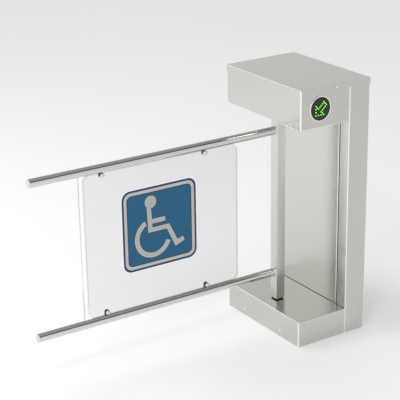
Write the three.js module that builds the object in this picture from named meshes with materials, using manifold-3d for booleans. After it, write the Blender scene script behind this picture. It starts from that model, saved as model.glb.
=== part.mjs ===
// Motorised swing gate for a wide or wheelchair passage: a C-shaped sheet-metal cabinet that holds a
// geared drive, and a swing wing of two round tubes with a clear panel between them.
// Millimetres, +Z up. The origin is the wing's swing axis at floor level, and the closed wing points to -X.

import * as THREE from 'three';
import { mergeVertices } from 'three/addons/utils/BufferGeometryUtils.js';
import Module from 'manifold-3d';

const wasm = await Module();
wasm.setup();

// ---------------------------------------------------------------- driving dimensions

const GAP = 0.3;

// Cabinet envelope, with the lid a little larger all round
const HEIGHT = 1000;
const BODY_X0 = -72;
const BODY_X1 = 243;
const BODY_HALF_DEPTH = 232;
const LID_OVERHANG = 2;
const LID_LIP = 21;
const LID_WALL = 1.5;

// Levels and the column's inner face
const BASE_TOP = 101;
const HEAD_BOTTOM = 850;
const SHELL_TOP = 997;
const COLUMN_X = 149;

// Sheet metal
const SHEET = 2;
const BEND = 3;
const SEAM = 0.3;
const GROOVE_Y = 181.5;
const GROOVE_WIDTH = 7;
const RETURN_DEPTH = 12;
const SIDE_RETURN = 20;
const SPINDLE_HOLE_R = 22;

// Wing
const WING_REACH = 1033;
const POST = 40;
const POST_WALL = 3;
const POST_BOTTOM = 106;
const POST_TOP = 847;
const TUBE_R = 16;
const TUBE_WALL = 2;
const TUBE_UPPER_Z = 787;
const TUBE_LOWER_Z = 215;
const CAP_THICKNESS = 2;
const PANEL_X0 = -827;
const PANEL_X1 = -189;
const PANEL_THICKNESS = 10;
const PANEL_GAP = 1;
const PANEL_CORNER_R = 25;
const SIGN_SIZE = 316;
const SIGN_CORNER_R = 33;
const SIGN_X = -527.5;
const SIGN_Z = 526;
const SIGN_THICKNESS = 1;
const TIE_ROD_X = -846;
const TIE_ROD_R = 2;
const FIXING_X = [-753, -329];
const FIXING_INSET = 9;
const BUTTON_R = 9;
const BUTTON_HEIGHT = 5;
const SCREW_SHANK_R = 2;

// Spindles and bearings
const SPINDLE_R = 12.5;
const SHOULDER_R = 17;
const BEARING_R = 23.5;
const BEARING_HEIGHT = 14;
const PLUG_LENGTH = 30;
const LOWER_BEARING_Z = 76;
const UPPER_BEARING_Z = 876;

// Drive
const PLATE_Z = 858;
const PLATE_THICKNESS = 8;
const MODULE = 2;
const GEAR_TEETH = 60;
const PINION_TEETH = 20;
const GEAR_Z = 918;
const GEAR_THICKNESS = 12;
const BACKLASH = 0.5;
const CENTRE_DISTANCE = MODULE * (GEAR_TEETH + PINION_TEETH) / 2;
const STOP_ARM_Z = 897;
const STOP_ARM_THICKNESS = 14;
const STOP_ARM_REACH = 62;
const STOP_ARM_WIDTH = 22;
const BUFFER_R = 8;
const BUFFER_Y = 50;

// Indicators, one on each side of the head
const INDICATOR_X = 15;
const INDICATOR_Z = 921;
const BEZEL_R = 47.5;
const LENS_R = 43;

// Screws
const LID_SCREW_X = (BODY_X0 + BODY_X1) / 2;
const LID_SCREW_R = 4.5;
const BASE_SCREW_Z = 25;
const BASE_SCREW_Y = 118;
const BASE_SCREW_R = 6;

// Column frame
const BASE_PLATE = 10;
const UPRIGHT = 40;
const UPRIGHT_WALL = 2;
const UPRIGHT_X = 163;
const UPRIGHT_Y = 179.5;

// ---------------------------------------------------------------- materials

const metal = (color, roughness) => new THREE.MeshStandardMaterial({ color, roughness, metalness: 1 });
const plain = (color, roughness) => new THREE.MeshStandardMaterial({ color, roughness, metalness: 0 });

const brushedSteel = () => metal(0xc9c8c0, 0.35);
const polishedSteel = () => metal(0xd8d8d4, 0.15);
const machinedSteel = () => metal(0x9a9c9e, 0.4);
const darkPaint = () => plain(0x2c2e30, 0.6);
const greyPaint = () => plain(0x5a5d60, 0.55);
const blackPlastic = () => plain(0x151515, 0.5);
const blackRubber = () => plain(0x1b1b1b, 0.85);
const circuitGreen = () => plain(0x1d5a38, 0.45);
const clearPanel = () => new THREE.MeshStandardMaterial({
  color: 0xe9ebea, roughness: 0.05, metalness: 0, transparent: true, opacity: 0.35,
});

// ---------------------------------------------------------------- geometry helpers

function signedVolume(geometry) {
  const p = geometry.attributes.position;
  const index = geometry.index;
  const a = new THREE.Vector3();
  const b = new THREE.Vector3();
  const c = new THREE.Vector3();
  let volume = 0;
  for (let i = 0; i < index.count; i += 3) {
    a.fromBufferAttribute(p, index.getX(i));
    b.fromBufferAttribute(p, index.getX(i + 1));
    c.fromBufferAttribute(p, index.getX(i + 2));
    volume += a.dot(b.cross(c)) / 6;
  }
  return volume;
}

// Position-only geometry with shared vertices and its faces pointing out
function closed(geometry) {
  const bare = geometry.clone();
  bare.deleteAttribute('normal');
  bare.deleteAttribute('uv');
  const merged = mergeVertices(bare, 1e-4);
  const kept = [];
  for (let i = 0; i < merged.index.count; i += 3) {
    const face = [merged.index.getX(i), merged.index.getX(i + 1), merged.index.getX(i + 2)];
    if (new Set(face).size === 3) kept.push(...face);
  }
  merged.setIndex(kept);
  if (signedVolume(merged) < 0) {
    for (let i = 0; i < kept.length; i += 3) {
      [kept[i], kept[i + 1]] = [kept[i + 1], kept[i]];
    }
    merged.setIndex(kept);
  }
  return merged;
}

function solid(geometry) {
  const g = closed(geometry);
  return new wasm.Manifold(new wasm.Mesh({
    numProp: 3,
    vertProperties: new Float32Array(g.attributes.position.array),
    triVerts: new Uint32Array(g.index.array),
  }));
}

function geometryOf(manifold) {
  const mesh = manifold.getMesh();
  const g = new THREE.BufferGeometry();
  g.setAttribute('position', new THREE.BufferAttribute(new Float32Array(mesh.vertProperties), 3));
  g.setIndex(new THREE.BufferAttribute(new Uint32Array(mesh.triVerts), 1));
  return g;
}

function cut(base, ...tools) {
  return geometryOf(tools.reduce((body, tool) => body.subtract(solid(tool)), solid(base)));
}

function join(base, ...others) {
  return geometryOf(others.reduce((body, other) => body.add(solid(other)), solid(base)));
}

function box(x0, x1, y0, y1, z0, z1) {
  const g = new THREE.BoxGeometry(x1 - x0, y1 - y0, z1 - z0);
  g.translate((x0 + x1) / 2, (y0 + y1) / 2, (z0 + z1) / 2);
  return g;
}

// A flat outline in X and Y, raised from z0 to z1
function prism(shape, z0, z1, curveSegments = 6) {
  const g = new THREE.ExtrudeGeometry(shape, { depth: z1 - z0, bevelEnabled: false, curveSegments });
  g.translate(0, 0, z0);
  return closed(g);
}

// A flat outline in X and Z, running from y0 to y1
function slab(shape, y0, y1, curveSegments = 6) {
  const g = prism(shape, 0, y1 - y0, curveSegments);
  g.rotateX(Math.PI / 2);
  g.translate(0, y1, 0);
  return g;
}

// A rectangle whose four corners have their own radii, in the order that the corners are walked
function roundedRectangle(x0, x1, y0, y1, [r00, r10, r11, r01]) {
  const shape = new THREE.Shape();
  shape.moveTo(x0 + r00, y0);
  shape.lineTo(x1 - r10, y0);
  if (r10) shape.absarc(x1 - r10, y0 + r10, r10, -Math.PI / 2, 0);
  shape.lineTo(x1, y1 - r11);
  if (r11) shape.absarc(x1 - r11, y1 - r11, r11, 0, Math.PI / 2);
  shape.lineTo(x0 + r01, y1);
  if (r01) shape.absarc(x0 + r01, y1 - r01, r01, Math.PI / 2, Math.PI);
  shape.lineTo(x0, y0 + r00);
  if (r00) shape.absarc(x0 + r00, y0 + r00, r00, Math.PI, Math.PI * 1.5);
  return shape;
}

const allCorners = (r) => [r, r, r, r];

function disc(r, x = 0, y = 0) {
  const shape = new THREE.Shape();
  shape.absarc(x, y, r, 0, Math.PI * 2);
  return shape;
}

function ring(outer, inner, x = 0, y = 0) {
  const shape = disc(outer, x, y);
  shape.holes.push(disc(inner, x, y));
  return shape;
}

function cylinderZ(r, z0, z1, x = 0, y = 0, halfTurnSteps = 12) {
  return prism(disc(r, x, y), z0, z1, halfTurnSteps);
}

function cylinderY(r, y0, y1, x, z, halfTurnSteps = 12) {
  return slab(disc(r, x, z), y0, y1, halfTurnSteps);
}

function cylinderX(r, x0, x1, y, z, halfTurnSteps = 12) {
  const g = prism(disc(r), x0, x1, halfTurnSteps);
  g.rotateY(Math.PI / 2);
  g.translate(0, y, z);
  return g;
}

// A turned piece on the Z axis from a closed list of [radius, z] corners
function turned(profile, segments = 24) {
  const points = profile.map(([r, z]) => new THREE.Vector2(r, z));
  points.push(points[0].clone());
  const g = new THREE.LatheGeometry(points, segments);
  g.rotateX(Math.PI / 2);
  return closed(g);
}

// A dome-headed screw whose head stands up +Z from the origin and whose shank goes down
function domeScrew(headR, headHeight, shankLength, segments = 14) {
  const profile = [[0, -shankLength], [SCREW_SHANK_R, -shankLength], [SCREW_SHANK_R, 0], [headR, 0]];
  const steps = 3;
  for (let i = 1; i < steps; i += 1) {
    const turn = (Math.PI / 2) * (i / steps);
    profile.push([headR * Math.cos(turn), headHeight * Math.sin(turn)]);
  }
  profile.push([0, headHeight]);
  const points = profile.map(([r, z]) => new THREE.Vector2(r, z));
  const g = new THREE.LatheGeometry(points, segments);
  g.rotateX(Math.PI / 2);
  return closed(g);
}

// The outline of an involute spur gear, with a tooth or a space on +X
function gearShape(teeth, toothOnX, boreR) {
  const pitchR = MODULE * teeth / 2;
  const pressure = THREE.MathUtils.degToRad(20);
  const baseR = pitchR * Math.cos(pressure);
  const tipR = pitchR + MODULE * 0.95;
  const rootR = pitchR - MODULE * 1.25;
  const involute = (a) => Math.tan(a) - a;
  const halfPitchAngle = Math.PI / (2 * teeth) - BACKLASH / (4 * pitchR);
  const halfAngle = (r) => {
    const onFlank = Math.max(r, baseR);
    return halfPitchAngle + involute(pressure) - involute(Math.acos(baseR / onFlank));
  };
  const flankR = baseR > rootR ? [rootR, baseR, pitchR, tipR] : [rootR, pitchR, tipR];
  const shape = new THREE.Shape();
  for (let i = 0; i < teeth; i += 1) {
    const middle = (i + (toothOnX ? 0 : 0.5)) * Math.PI * 2 / teeth;
    const rising = flankR.map((r) => [r, middle - halfAngle(r)]);
    const falling = flankR.map((r) => [r, middle + halfAngle(r)]).reverse();
    [...rising, ...falling].forEach(([r, a], step) => {
      const point = [r * Math.cos(a), r * Math.sin(a)];
      if (i === 0 && step === 0) shape.moveTo(...point);
      else shape.lineTo(...point);
    });
  }
  shape.closePath();
  if (boreR) shape.holes.push(disc(boreR));
  return shape;
}

const object = new THREE.Group();

function add(parent, name, geometry, material) {
  const mesh = new THREE.Mesh(closed(geometry), material);
  mesh.name = name;
  parent.add(mesh);
  return mesh;
}

// ---------------------------------------------------------------- cabinet shells

const cabinet = new THREE.Group();
object.add(cabinet);

// The two boxes that jut out over and under the wing's post: open towards the column
function juttingShell(z0, z1, hollowZ0, hollowZ1) {
  const x1 = COLUMN_X - SEAM;
  const d = BODY_HALF_DEPTH;
  const outer = roundedRectangle(BODY_X0, x1, -d, d, [BEND, 0, 0, BEND]);
  const inner = roundedRectangle(BODY_X0 + SHEET, x1 + 1, SHEET - d, d - SHEET, [1, 0, 0, 1]);
  return cut(prism(outer, z0, z1), prism(inner, hollowZ0, hollowZ1));
}

function makeHeadHousing() {
  const shell = juttingShell(HEAD_BOTTOM, SHELL_TOP, HEAD_BOTTOM + SHEET, SHELL_TOP + 1);
  const d = BODY_HALF_DEPTH + 1;
  const lidScrewZ = HEIGHT - LID_LIP / 2;
  return cut(
    shell,
    cylinderZ(SPINDLE_HOLE_R, HEAD_BOTTOM - 1, HEAD_BOTTOM + SHEET + 1),
    cylinderY(LENS_R + 1, -d, d, INDICATOR_X, INDICATOR_Z, 16),
    cylinderY(SCREW_SHANK_R + 0.5, -d, d, LID_SCREW_X, lidScrewZ, 4),
  );
}

function makeBaseCover() {
  const shell = juttingShell(0, BASE_TOP, -1, BASE_TOP - SHEET);
  const screwHoles = [-1, 1].map((side) => cylinderX(
    SCREW_SHANK_R + 0.5, BODY_X0 - 1, BODY_X0 + SHEET + 1, side * BASE_SCREW_Y, BASE_SCREW_Z, 4,
  ));
  return cut(
    shell,
    cylinderZ(SPINDLE_HOLE_R, BASE_TOP - SHEET - 1, BASE_TOP + 1),
    ...screwHoles,
  );
}

// A full-height corner casing of the column: outer face, folded flange towards the wing, side return
function makeColumnCasing(side) {
  const d = BODY_HALF_DEPTH;
  const flangeX = COLUMN_X + RETURN_DEPTH;
  const blank = roundedRectangle(COLUMN_X + SEAM, BODY_X1, -d, -GROOVE_Y, [BEND, BEND, 0, 0]);
  const casing = cut(
    prism(blank, 0, SHELL_TOP),
    box(COLUMN_X + SEAM + SHEET, BODY_X1 - SHEET, SHEET - d, -GROOVE_Y - SHEET, -1, HEIGHT),
    box(flangeX, BODY_X1 + 1, SIDE_RETURN - d, 1 - GROOVE_Y, -1, HEIGHT),
    box(COLUMN_X, flangeX + 1, SHEET - d, 1 - GROOVE_Y, HEAD_BOTTOM - 1, HEIGHT),
    box(COLUMN_X, flangeX + 1, SHEET - d, 1 - GROOVE_Y, -1, BASE_TOP + 1),
  );
  if (side > 0) casing.scale(1, -1, 1);
  return casing;
}

function makeColumnDoor() {
  const halfWidth = GROOVE_Y - GROOVE_WIDTH;
  const z0 = BASE_TOP + 0.7;
  const z1 = HEAD_BOTTOM - 0.7;
  const x0 = COLUMN_X + SEAM;
  return cut(
    box(x0, x0 + RETURN_DEPTH, -halfWidth, halfWidth, z0, z1),
    box(x0 + SHEET, x0 + RETURN_DEPTH + 1, SHEET - halfWidth, halfWidth - SHEET, z0 - 1, z1 + 1),
  );
}

function makeColumnOuterPanel() {
  const halfWidth = BODY_HALF_DEPTH - SIDE_RETURN - 0.6;
  return cut(
    box(BODY_X1 - RETURN_DEPTH, BODY_X1, -halfWidth, halfWidth, 0, SHELL_TOP),
    box(BODY_X1 - RETURN_DEPTH - 1, BODY_X1 - SHEET, SHEET - halfWidth, halfWidth - SHEET, -1, HEIGHT),
  );
}

function makeLid() {
  const x0 = BODY_X0 - LID_OVERHANG;
  const x1 = BODY_X1 + LID_OVERHANG;
  const d = BODY_HALF_DEPTH + LID_OVERHANG;
  const outer = roundedRectangle(x0, x1, -d, d, allCorners(4));
  const inner = roundedRectangle(
    x0 + LID_WALL, x1 - LID_WALL, LID_WALL - d, d - LID_WALL, allCorners(2.5),
  );
  return cut(
    prism(outer, HEIGHT - LID_LIP, HEIGHT),
    prism(inner, HEIGHT - LID_LIP - 1, HEIGHT - LID_WALL),
    cylinderY(SCREW_SHANK_R + 0.5, -d - 1, d + 1, LID_SCREW_X, HEIGHT - LID_LIP / 2, 4),
  );
}

add(cabinet, 'head_housing', makeHeadHousing(), brushedSteel());
add(cabinet, 'base_cover', makeBaseCover(), brushedSteel());
add(cabinet, 'column_front_casing', makeColumnCasing(-1), brushedSteel());
add(cabinet, 'column_rear_casing', makeColumnCasing(1), brushedSteel());
add(cabinet, 'column_door', makeColumnDoor(), brushedSteel());
add(cabinet, 'column_outer_panel', makeColumnOuterPanel(), brushedSteel());
add(cabinet, 'lid', makeLid(), brushedSteel());

// Cover screws: one in each long lip of the lid, two in the base cover's end
['front', 'rear'].forEach((end, i) => {
  const side = i === 0 ? -1 : 1;
  const lidScrew = add(cabinet, `lid_screw_${end}`, domeScrew(LID_SCREW_R, 2.2, 7), polishedSteel());
  lidScrew.rotation.x = side * -Math.PI / 2;
  lidScrew.position.set(
    LID_SCREW_X, side * (BODY_HALF_DEPTH + LID_OVERHANG + GAP), HEIGHT - LID_LIP / 2,
  );
  const baseScrew = add(cabinet, `base_screw_${end}`, domeScrew(BASE_SCREW_R, 3, 9), polishedSteel());
  baseScrew.rotation.y = -Math.PI / 2;
  baseScrew.position.set(BODY_X0 - GAP, side * BASE_SCREW_Y, BASE_SCREW_Z);
});

// Direction indicators in the head's two faces: bezel ring, dark lens, lamp board
['front', 'rear'].forEach((end, i) => {
  const face = BODY_HALF_DEPTH;
  const pieces = [
    [`indicator_bezel_${end}`, slab(ring(BEZEL_R, LENS_R + GAP, INDICATOR_X, INDICATOR_Z),
      -face - 2.5, -face - GAP, 16), polishedSteel()],
    [`indicator_lens_${end}`, cylinderY(LENS_R, -face - 2, -face + 4, INDICATOR_X, INDICATOR_Z, 16),
      blackPlastic()],
    [`indicator_board_${end}`, cylinderY(LENS_R - 1, -face + 6, -face + 8, INDICATOR_X, INDICATOR_Z, 16),
      circuitGreen()],
  ];
  pieces.forEach(([name, geometry, material]) => {
    if (i === 1) geometry.scale(1, -1, 1);
    add(cabinet, name, geometry, material);
  });
});

// ---------------------------------------------------------------- frame and lower bearing

function makeBasePlate() {
  const inset = 4.5;
  const x0 = BODY_X0 + inset;
  const x1 = BODY_X1 - RETURN_DEPTH - 1;
  const d = BODY_HALF_DEPTH - inset;
  const lugs = [-1, 1].map((side) => box(
    x0, x0 + 8, side * BASE_SCREW_Y - 12, side * BASE_SCREW_Y + 12, 1, BASE_SCREW_Z + 12,
  ));
  const holes = [];
  for (const x of [x0 + 30, x1 - 40]) {
    for (const y of [35 - d, d - 35]) holes.push(cylinderZ(7, -1, BASE_PLATE + 1, x, y, 8));
  }
  lugs.forEach((lug, i) => {
    const y = (i === 0 ? -1 : 1) * BASE_SCREW_Y;
    holes.push(cylinderX(SCREW_SHANK_R + 0.5, x0 - 1, x0 + 9, y, BASE_SCREW_Z, 4));
  });
  holes.push(cylinderZ(25, -1, BASE_PLATE + 1, 190, 0, 12));
  return cut(join(box(x0, x1, -d, d, 0, BASE_PLATE), ...lugs), ...holes);
}

function makeUpright(side) {
  const y = side * UPRIGHT_Y;
  const h = UPRIGHT / 2;
  const w = h - UPRIGHT_WALL;
  const x = UPRIGHT_X + h;
  const shape = roundedRectangle(x - h, x + h, y - h, y + h, allCorners(3));
  shape.holes.push(roundedRectangle(x - w, x + w, y - w, y + w, allCorners(1)));
  return prism(shape, BASE_PLATE + GAP, PLATE_Z - GAP, 2);
}

add(cabinet, 'base_plate', makeBasePlate(), greyPaint());
add(cabinet, 'frame_upright_front', makeUpright(-1), darkPaint());
add(cabinet, 'frame_upright_rear', makeUpright(1), darkPaint());

const bearingTop = (z) => z + BEARING_HEIGHT;

add(cabinet, 'lower_bearing_pedestal', turned([
  [15, BASE_PLATE + GAP], [52, BASE_PLATE + GAP], [52, BASE_PLATE + 8], [31, BASE_PLATE + 10],
  [31, bearingTop(LOWER_BEARING_Z)], [BEARING_R + GAP, bearingTop(LOWER_BEARING_Z)],
  [BEARING_R + GAP, LOWER_BEARING_Z - GAP], [15, LOWER_BEARING_Z - GAP],
]), machinedSteel());

function makeBearing(z) {
  return prism(ring(BEARING_R, SPINDLE_R + GAP), z, bearingTop(z), 12);
}

add(cabinet, 'lower_bearing', makeBearing(LOWER_BEARING_Z), machinedSteel());
add(cabinet, 'cable_grommet', turned([
  [19, 1], [24.6, 1], [24.6, BASE_PLATE + GAP], [29, BASE_PLATE + GAP],
  [29, BASE_PLATE + 3], [19, BASE_PLATE + 3],
], 16).translate(190, 0, 0), blackRubber());

// ---------------------------------------------------------------- drive in the head

function makeDrivePlate() {
  const z1 = PLATE_Z + PLATE_THICKNESS;
  return cut(
    box(BODY_X0 + 8, BODY_X1 - 20, -204, 204, PLATE_Z, z1),
    cylinderZ(SHOULDER_R + 5, PLATE_Z - 1, z1 + 1),
    box(150, 215, -120, 120, PLATE_Z - 1, z1 + 1),
  );
}

add(cabinet, 'drive_plate', makeDrivePlate(), greyPaint());

const plateTop = PLATE_Z + PLATE_THICKNESS + GAP;
const shoulderBore = SHOULDER_R + 2;
add(cabinet, 'upper_bearing_housing', turned([
  [shoulderBore, plateTop], [42, plateTop], [42, plateTop + 6], [32, plateTop + 7],
  [32, bearingTop(UPPER_BEARING_Z)], [BEARING_R + GAP, bearingTop(UPPER_BEARING_Z)],
  [BEARING_R + GAP, UPPER_BEARING_Z - GAP], [shoulderBore, UPPER_BEARING_Z - GAP],
]), machinedSteel());
add(cabinet, 'upper_bearing', makeBearing(UPPER_BEARING_Z), machinedSteel());

const gearboxTop = 911;
const pinionShaftR = 7;
add(cabinet, 'gearbox', cut(
  box(CENTRE_DISTANCE - 34, CENTRE_DISTANCE + 40, -38, 38, plateTop, gearboxTop),
  cylinderZ(pinionShaftR + GAP, gearboxTop - 25, gearboxTop + 1, CENTRE_DISTANCE, 0, 12),
), greyPaint());

const motorZ = (plateTop + gearboxTop) / 2 + 5;
add(cabinet, 'drive_motor', join(
  cylinderY(26, 38 + GAP, 150, CENTRE_DISTANCE, motorZ, 14),
  cylinderY(22, 149, 158, CENTRE_DISTANCE, motorZ, 14),
  box(CENTRE_DISTANCE - 16, CENTRE_DISTANCE + 16, 70, 110, motorZ + 10, motorZ + 36),
), darkPaint());

const buffer = turned([
  [0, plateTop], [BUFFER_R, plateTop], [BUFFER_R, STOP_ARM_Z + STOP_ARM_THICKNESS],
  [0, STOP_ARM_Z + STOP_ARM_THICKNESS],
]);
const bufferX = STOP_ARM_WIDTH / 2 + BUFFER_R + GAP;
add(cabinet, 'stop_buffer_front', buffer, blackRubber()).position.set(bufferX, -BUFFER_Y, 0);
add(cabinet, 'stop_buffer_rear', buffer, blackRubber()).position.set(bufferX, BUFFER_Y, 0);

// Electronics on a tray between the uprights
const trayX = UPRIGHT_X + UPRIGHT + GAP;
const trayFace = trayX - GAP;
add(cabinet, 'electronics_tray', box(trayX, trayX + 2, -196, 196, 380, 780), greyPaint());
add(cabinet, 'controller_board', join(
  box(trayFace - 10, trayFace - 8, -85, 85, 420, 600),
  box(trayFace - 9, trayFace, -80, -74, 430, 436),
  box(trayFace - 9, trayFace, 74, 80, 584, 590),
  box(trayFace - 26, trayFace - 9, -60, -20, 530, 570),
  box(trayFace - 22, trayFace - 9, 10, 60, 440, 500),
), circuitGreen());
add(cabinet, 'terminal_block', box(trayFace - 22, trayFace, -70, 70, 392, 412), plain(0xb9bcb4, 0.5));
add(cabinet, 'power_supply', box(trayFace - 34, trayFace, -65, 65, 640, 740), greyPaint());

// ---------------------------------------------------------------- pinion on the gearbox shaft

const pinion = new THREE.Group();
pinion.position.set(CENTRE_DISTANCE, 0, 0);
object.add(pinion);

add(pinion, 'pinion_shaft', cylinderZ(pinionShaftR, gearboxTop - 22, GEAR_Z + GEAR_THICKNESS + 4, 0, 0, 10),
  machinedSteel());
add(pinion, 'drive_pinion', prism(gearShape(PINION_TEETH, false, pinionShaftR + GAP),
  GEAR_Z, GEAR_Z + GEAR_THICKNESS, 8), machinedSteel());

// ---------------------------------------------------------------- wing

const wing = new THREE.Group();
object.add(wing);

function squareShape(size, r = 0) {
  return roundedRectangle(-size / 2, size / 2, -size / 2, size / 2, allCorners(r));
}

function makeWingPost() {
  const shape = squareShape(POST, 2);
  shape.holes.push(squareShape(POST - 2 * POST_WALL));
  return prism(shape, POST_BOTTOM, POST_TOP, 3);
}

const plugSize = POST - 2 * POST_WALL - 2 * GAP;
const plugBottom = BASE_TOP + 1.3;
const postCoreTop = POST_BOTTOM + PLUG_LENGTH;

function makePostPlug() {
  const shape = squareShape(plugSize);
  shape.holes.push(disc(SPINDLE_R + GAP));
  return prism(shape, plugBottom, postCoreTop, 12);
}

add(wing, 'wing_post', makeWingPost(), brushedSteel());
add(wing, 'post_bottom_plug', makePostPlug(), blackPlastic());
const lowerShoulderZ = bearingTop(LOWER_BEARING_Z) + GAP;
add(wing, 'lower_spindle', turned([
  [0, 34], [SPINDLE_R, 34], [SPINDLE_R, lowerShoulderZ], [SHOULDER_R, lowerShoulderZ],
  [SHOULDER_R, plugBottom - GAP], [SPINDLE_R, plugBottom - GAP],
  [SPINDLE_R, postCoreTop], [0, postCoreTop],
]), machinedSteel());

add(wing, 'upper_spindle', join(
  prism(squareShape(plugSize), POST_TOP - PLUG_LENGTH, POST_TOP - 1, 1),
  cylinderZ(SHOULDER_R, POST_TOP - 2, UPPER_BEARING_Z - GAP),
  cylinderZ(SPINDLE_R, UPPER_BEARING_Z - 1, GEAR_Z + GEAR_THICKNESS + 14),
), machinedSteel());

function makeStopArm() {
  const arm = box(-STOP_ARM_REACH, 0, -STOP_ARM_WIDTH / 2, STOP_ARM_WIDTH / 2,
    STOP_ARM_Z, STOP_ARM_Z + STOP_ARM_THICKNESS);
  const boss = cylinderZ(SPINDLE_R + 9, STOP_ARM_Z, STOP_ARM_Z + STOP_ARM_THICKNESS);
  const bore = cylinderZ(SPINDLE_R + GAP, STOP_ARM_Z - 1, STOP_ARM_Z + STOP_ARM_THICKNESS + 1);
  return cut(join(arm, boss), bore);
}

add(wing, 'stop_arm', makeStopArm(), machinedSteel());

function makeDrivenGear() {
  const z1 = GEAR_Z + GEAR_THICKNESS;
  const boss = prism(ring(SPINDLE_R + 9, SPINDLE_R + GAP), z1 - 0.5, z1 + 10, 12);
  return join(prism(gearShape(GEAR_TEETH, true, SPINDLE_R + GAP), GEAR_Z, z1, 12), boss);
}

add(wing, 'driven_gear', makeDrivenGear(), machinedSteel());

const tubeEnd = -WING_REACH + CAP_THICKNESS + GAP;
const postFace = -POST / 2 - GAP;

function makeWingTube(z) {
  const g = prism(ring(TUBE_R, TUBE_R - TUBE_WALL), tubeEnd, postFace, 18);
  g.rotateY(Math.PI / 2);
  g.translate(0, 0, z);
  return g;
}

function makeTubeCap(z) {
  return join(
    cylinderX(TUBE_R, -WING_REACH, -WING_REACH + CAP_THICKNESS, 0, z, 18),
    cylinderX(TUBE_R - TUBE_WALL - GAP, -WING_REACH + 1, tubeEnd + 12, 0, z, 14),
  );
}

[['upper', TUBE_UPPER_Z], ['lower', TUBE_LOWER_Z]].forEach(([level, z]) => {
  add(wing, `${level}_tube`, makeWingTube(z), polishedSteel());
  add(wing, `${level}_tube_cap`, makeTubeCap(z), polishedSteel());
});

const panelZ0 = TUBE_LOWER_Z + TUBE_R + PANEL_GAP;
const panelZ1 = TUBE_UPPER_Z - TUBE_R - PANEL_GAP;
const panelFace = PANEL_THICKNESS / 2;
const fixings = [];
for (const z of [panelZ1 - FIXING_INSET, panelZ0 + FIXING_INSET]) {
  for (const x of FIXING_X) fixings.push([x, z]);
}

function makePanel() {
  const shape = roundedRectangle(PANEL_X0, PANEL_X1, panelZ0, panelZ1, allCorners(PANEL_CORNER_R));
  const holes = fixings.map(([x, z]) => cylinderY(SCREW_SHANK_R + 0.5, -9, 9, x, z, 4));
  return cut(slab(shape, -panelFace, panelFace, 6), ...holes);
}

function makeSign() {
  const h = SIGN_SIZE / 2;
  const shape = roundedRectangle(
    SIGN_X - h, SIGN_X + h, SIGN_Z - h, SIGN_Z + h, allCorners(SIGN_CORNER_R),
  );
  return slab(shape, -panelFace - GAP - SIGN_THICKNESS, -panelFace - GAP, 8);
}

add(wing, 'clear_panel', makePanel(), clearPanel());
add(wing, 'sign_plate', makeSign(), plain(0x396180, 0.4));
add(wing, 'tie_rod', cylinderZ(
  TIE_ROD_R, TUBE_LOWER_Z + TUBE_R + GAP, TUBE_UPPER_Z - TUBE_R - GAP, TIE_ROD_X, 0, 8,
), polishedSteel());

// Panel fixings: a tab on the tube behind the panel and a dome-headed button in front of it
const tabThickness = 3;
const tabHalfWidth = 10;
fixings.forEach(([x, z], i) => {
  const up = z > (panelZ0 + panelZ1) / 2 ? 1 : -1;
  const reach = FIXING_INSET + 0.5;
  const [z0, z1] = [z - up * BUTTON_R, z + up * reach].sort((a, b) => a - b);
  const y0 = panelFace + GAP;
  const tab = cut(
    box(x - tabHalfWidth, x + tabHalfWidth, y0, y0 + tabThickness, z0, z1),
    cylinderY(SCREW_SHANK_R + 0.5, 0, 12, x, z, 4),
  );
  add(wing, `panel_tab_${i + 1}`, tab, brushedSteel());
  const shankLength = PANEL_THICKNESS + tabThickness + 3;
  const button = add(wing, `panel_button_${i + 1}`,
    domeScrew(BUTTON_R, BUTTON_HEIGHT, shankLength), polishedSteel());
  button.rotation.x = Math.PI / 2;
  button.position.set(x, -panelFace - GAP, z);
});

export default object;
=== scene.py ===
import math

import bmesh
import bpy
from bpy.props import FloatProperty, FloatVectorProperty, IntProperty, PointerProperty
from mathutils import Matrix, Vector


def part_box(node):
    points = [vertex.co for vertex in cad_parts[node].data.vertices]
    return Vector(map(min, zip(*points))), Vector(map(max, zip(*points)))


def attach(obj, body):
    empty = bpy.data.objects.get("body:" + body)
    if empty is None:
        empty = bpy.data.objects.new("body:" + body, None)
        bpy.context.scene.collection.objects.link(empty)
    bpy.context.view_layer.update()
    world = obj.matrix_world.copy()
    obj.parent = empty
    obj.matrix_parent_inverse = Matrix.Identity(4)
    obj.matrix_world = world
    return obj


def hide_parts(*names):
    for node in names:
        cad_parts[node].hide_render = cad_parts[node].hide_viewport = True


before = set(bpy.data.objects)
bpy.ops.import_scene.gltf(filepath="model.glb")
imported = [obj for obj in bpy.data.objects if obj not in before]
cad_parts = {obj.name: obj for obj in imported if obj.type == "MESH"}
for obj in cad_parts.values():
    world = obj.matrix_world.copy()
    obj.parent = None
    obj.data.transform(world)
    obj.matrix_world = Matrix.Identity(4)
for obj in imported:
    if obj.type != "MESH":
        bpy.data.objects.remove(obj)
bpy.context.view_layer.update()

bl_info = {
    "name": "Swing Gate Pieces",
    "version": (1, 0, 0),
    "blender": (4, 5, 0),
    "location": "3D View > Sidebar > Swing Gate",
    "description": "Builds the visible pieces of a motorised swing gate round its packed frame",
    "category": "Add Mesh",
}

MM = 0.001
NEAR = 1e-6
FULL_TURN = 2 * math.pi
QUARTER = math.pi / 2
FRONT, REAR = -1, 1
BEND_HIGHLIGHT_SLOT = 1  # material slot of a sheet's bends, which carry a painted highlight in bright steel
SCREW_HOLE = 2.3 * MM  # radius of the cabinet's screw holes
SEAM_STEP = 6 * MM  # how far the seam returns stay clear of the cover's bend
CASING_RETURN = 20 * MM  # how far the casings fold in at the back
FLANGE_PLAY = 1 * MM  # how much shorter than the door the groove's flange is at each end
BEND_COSINE = 0.1  # two faces meet in a bend if the cosine between their normals is below this
FLAT_COSINE = 0.99  # a face's normal this close to an axis is along it
ALONG_COSINE = 0.999  # an edge this close to an axis runs along it


# ---------------------------------------------------------------- sizes and colours


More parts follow.
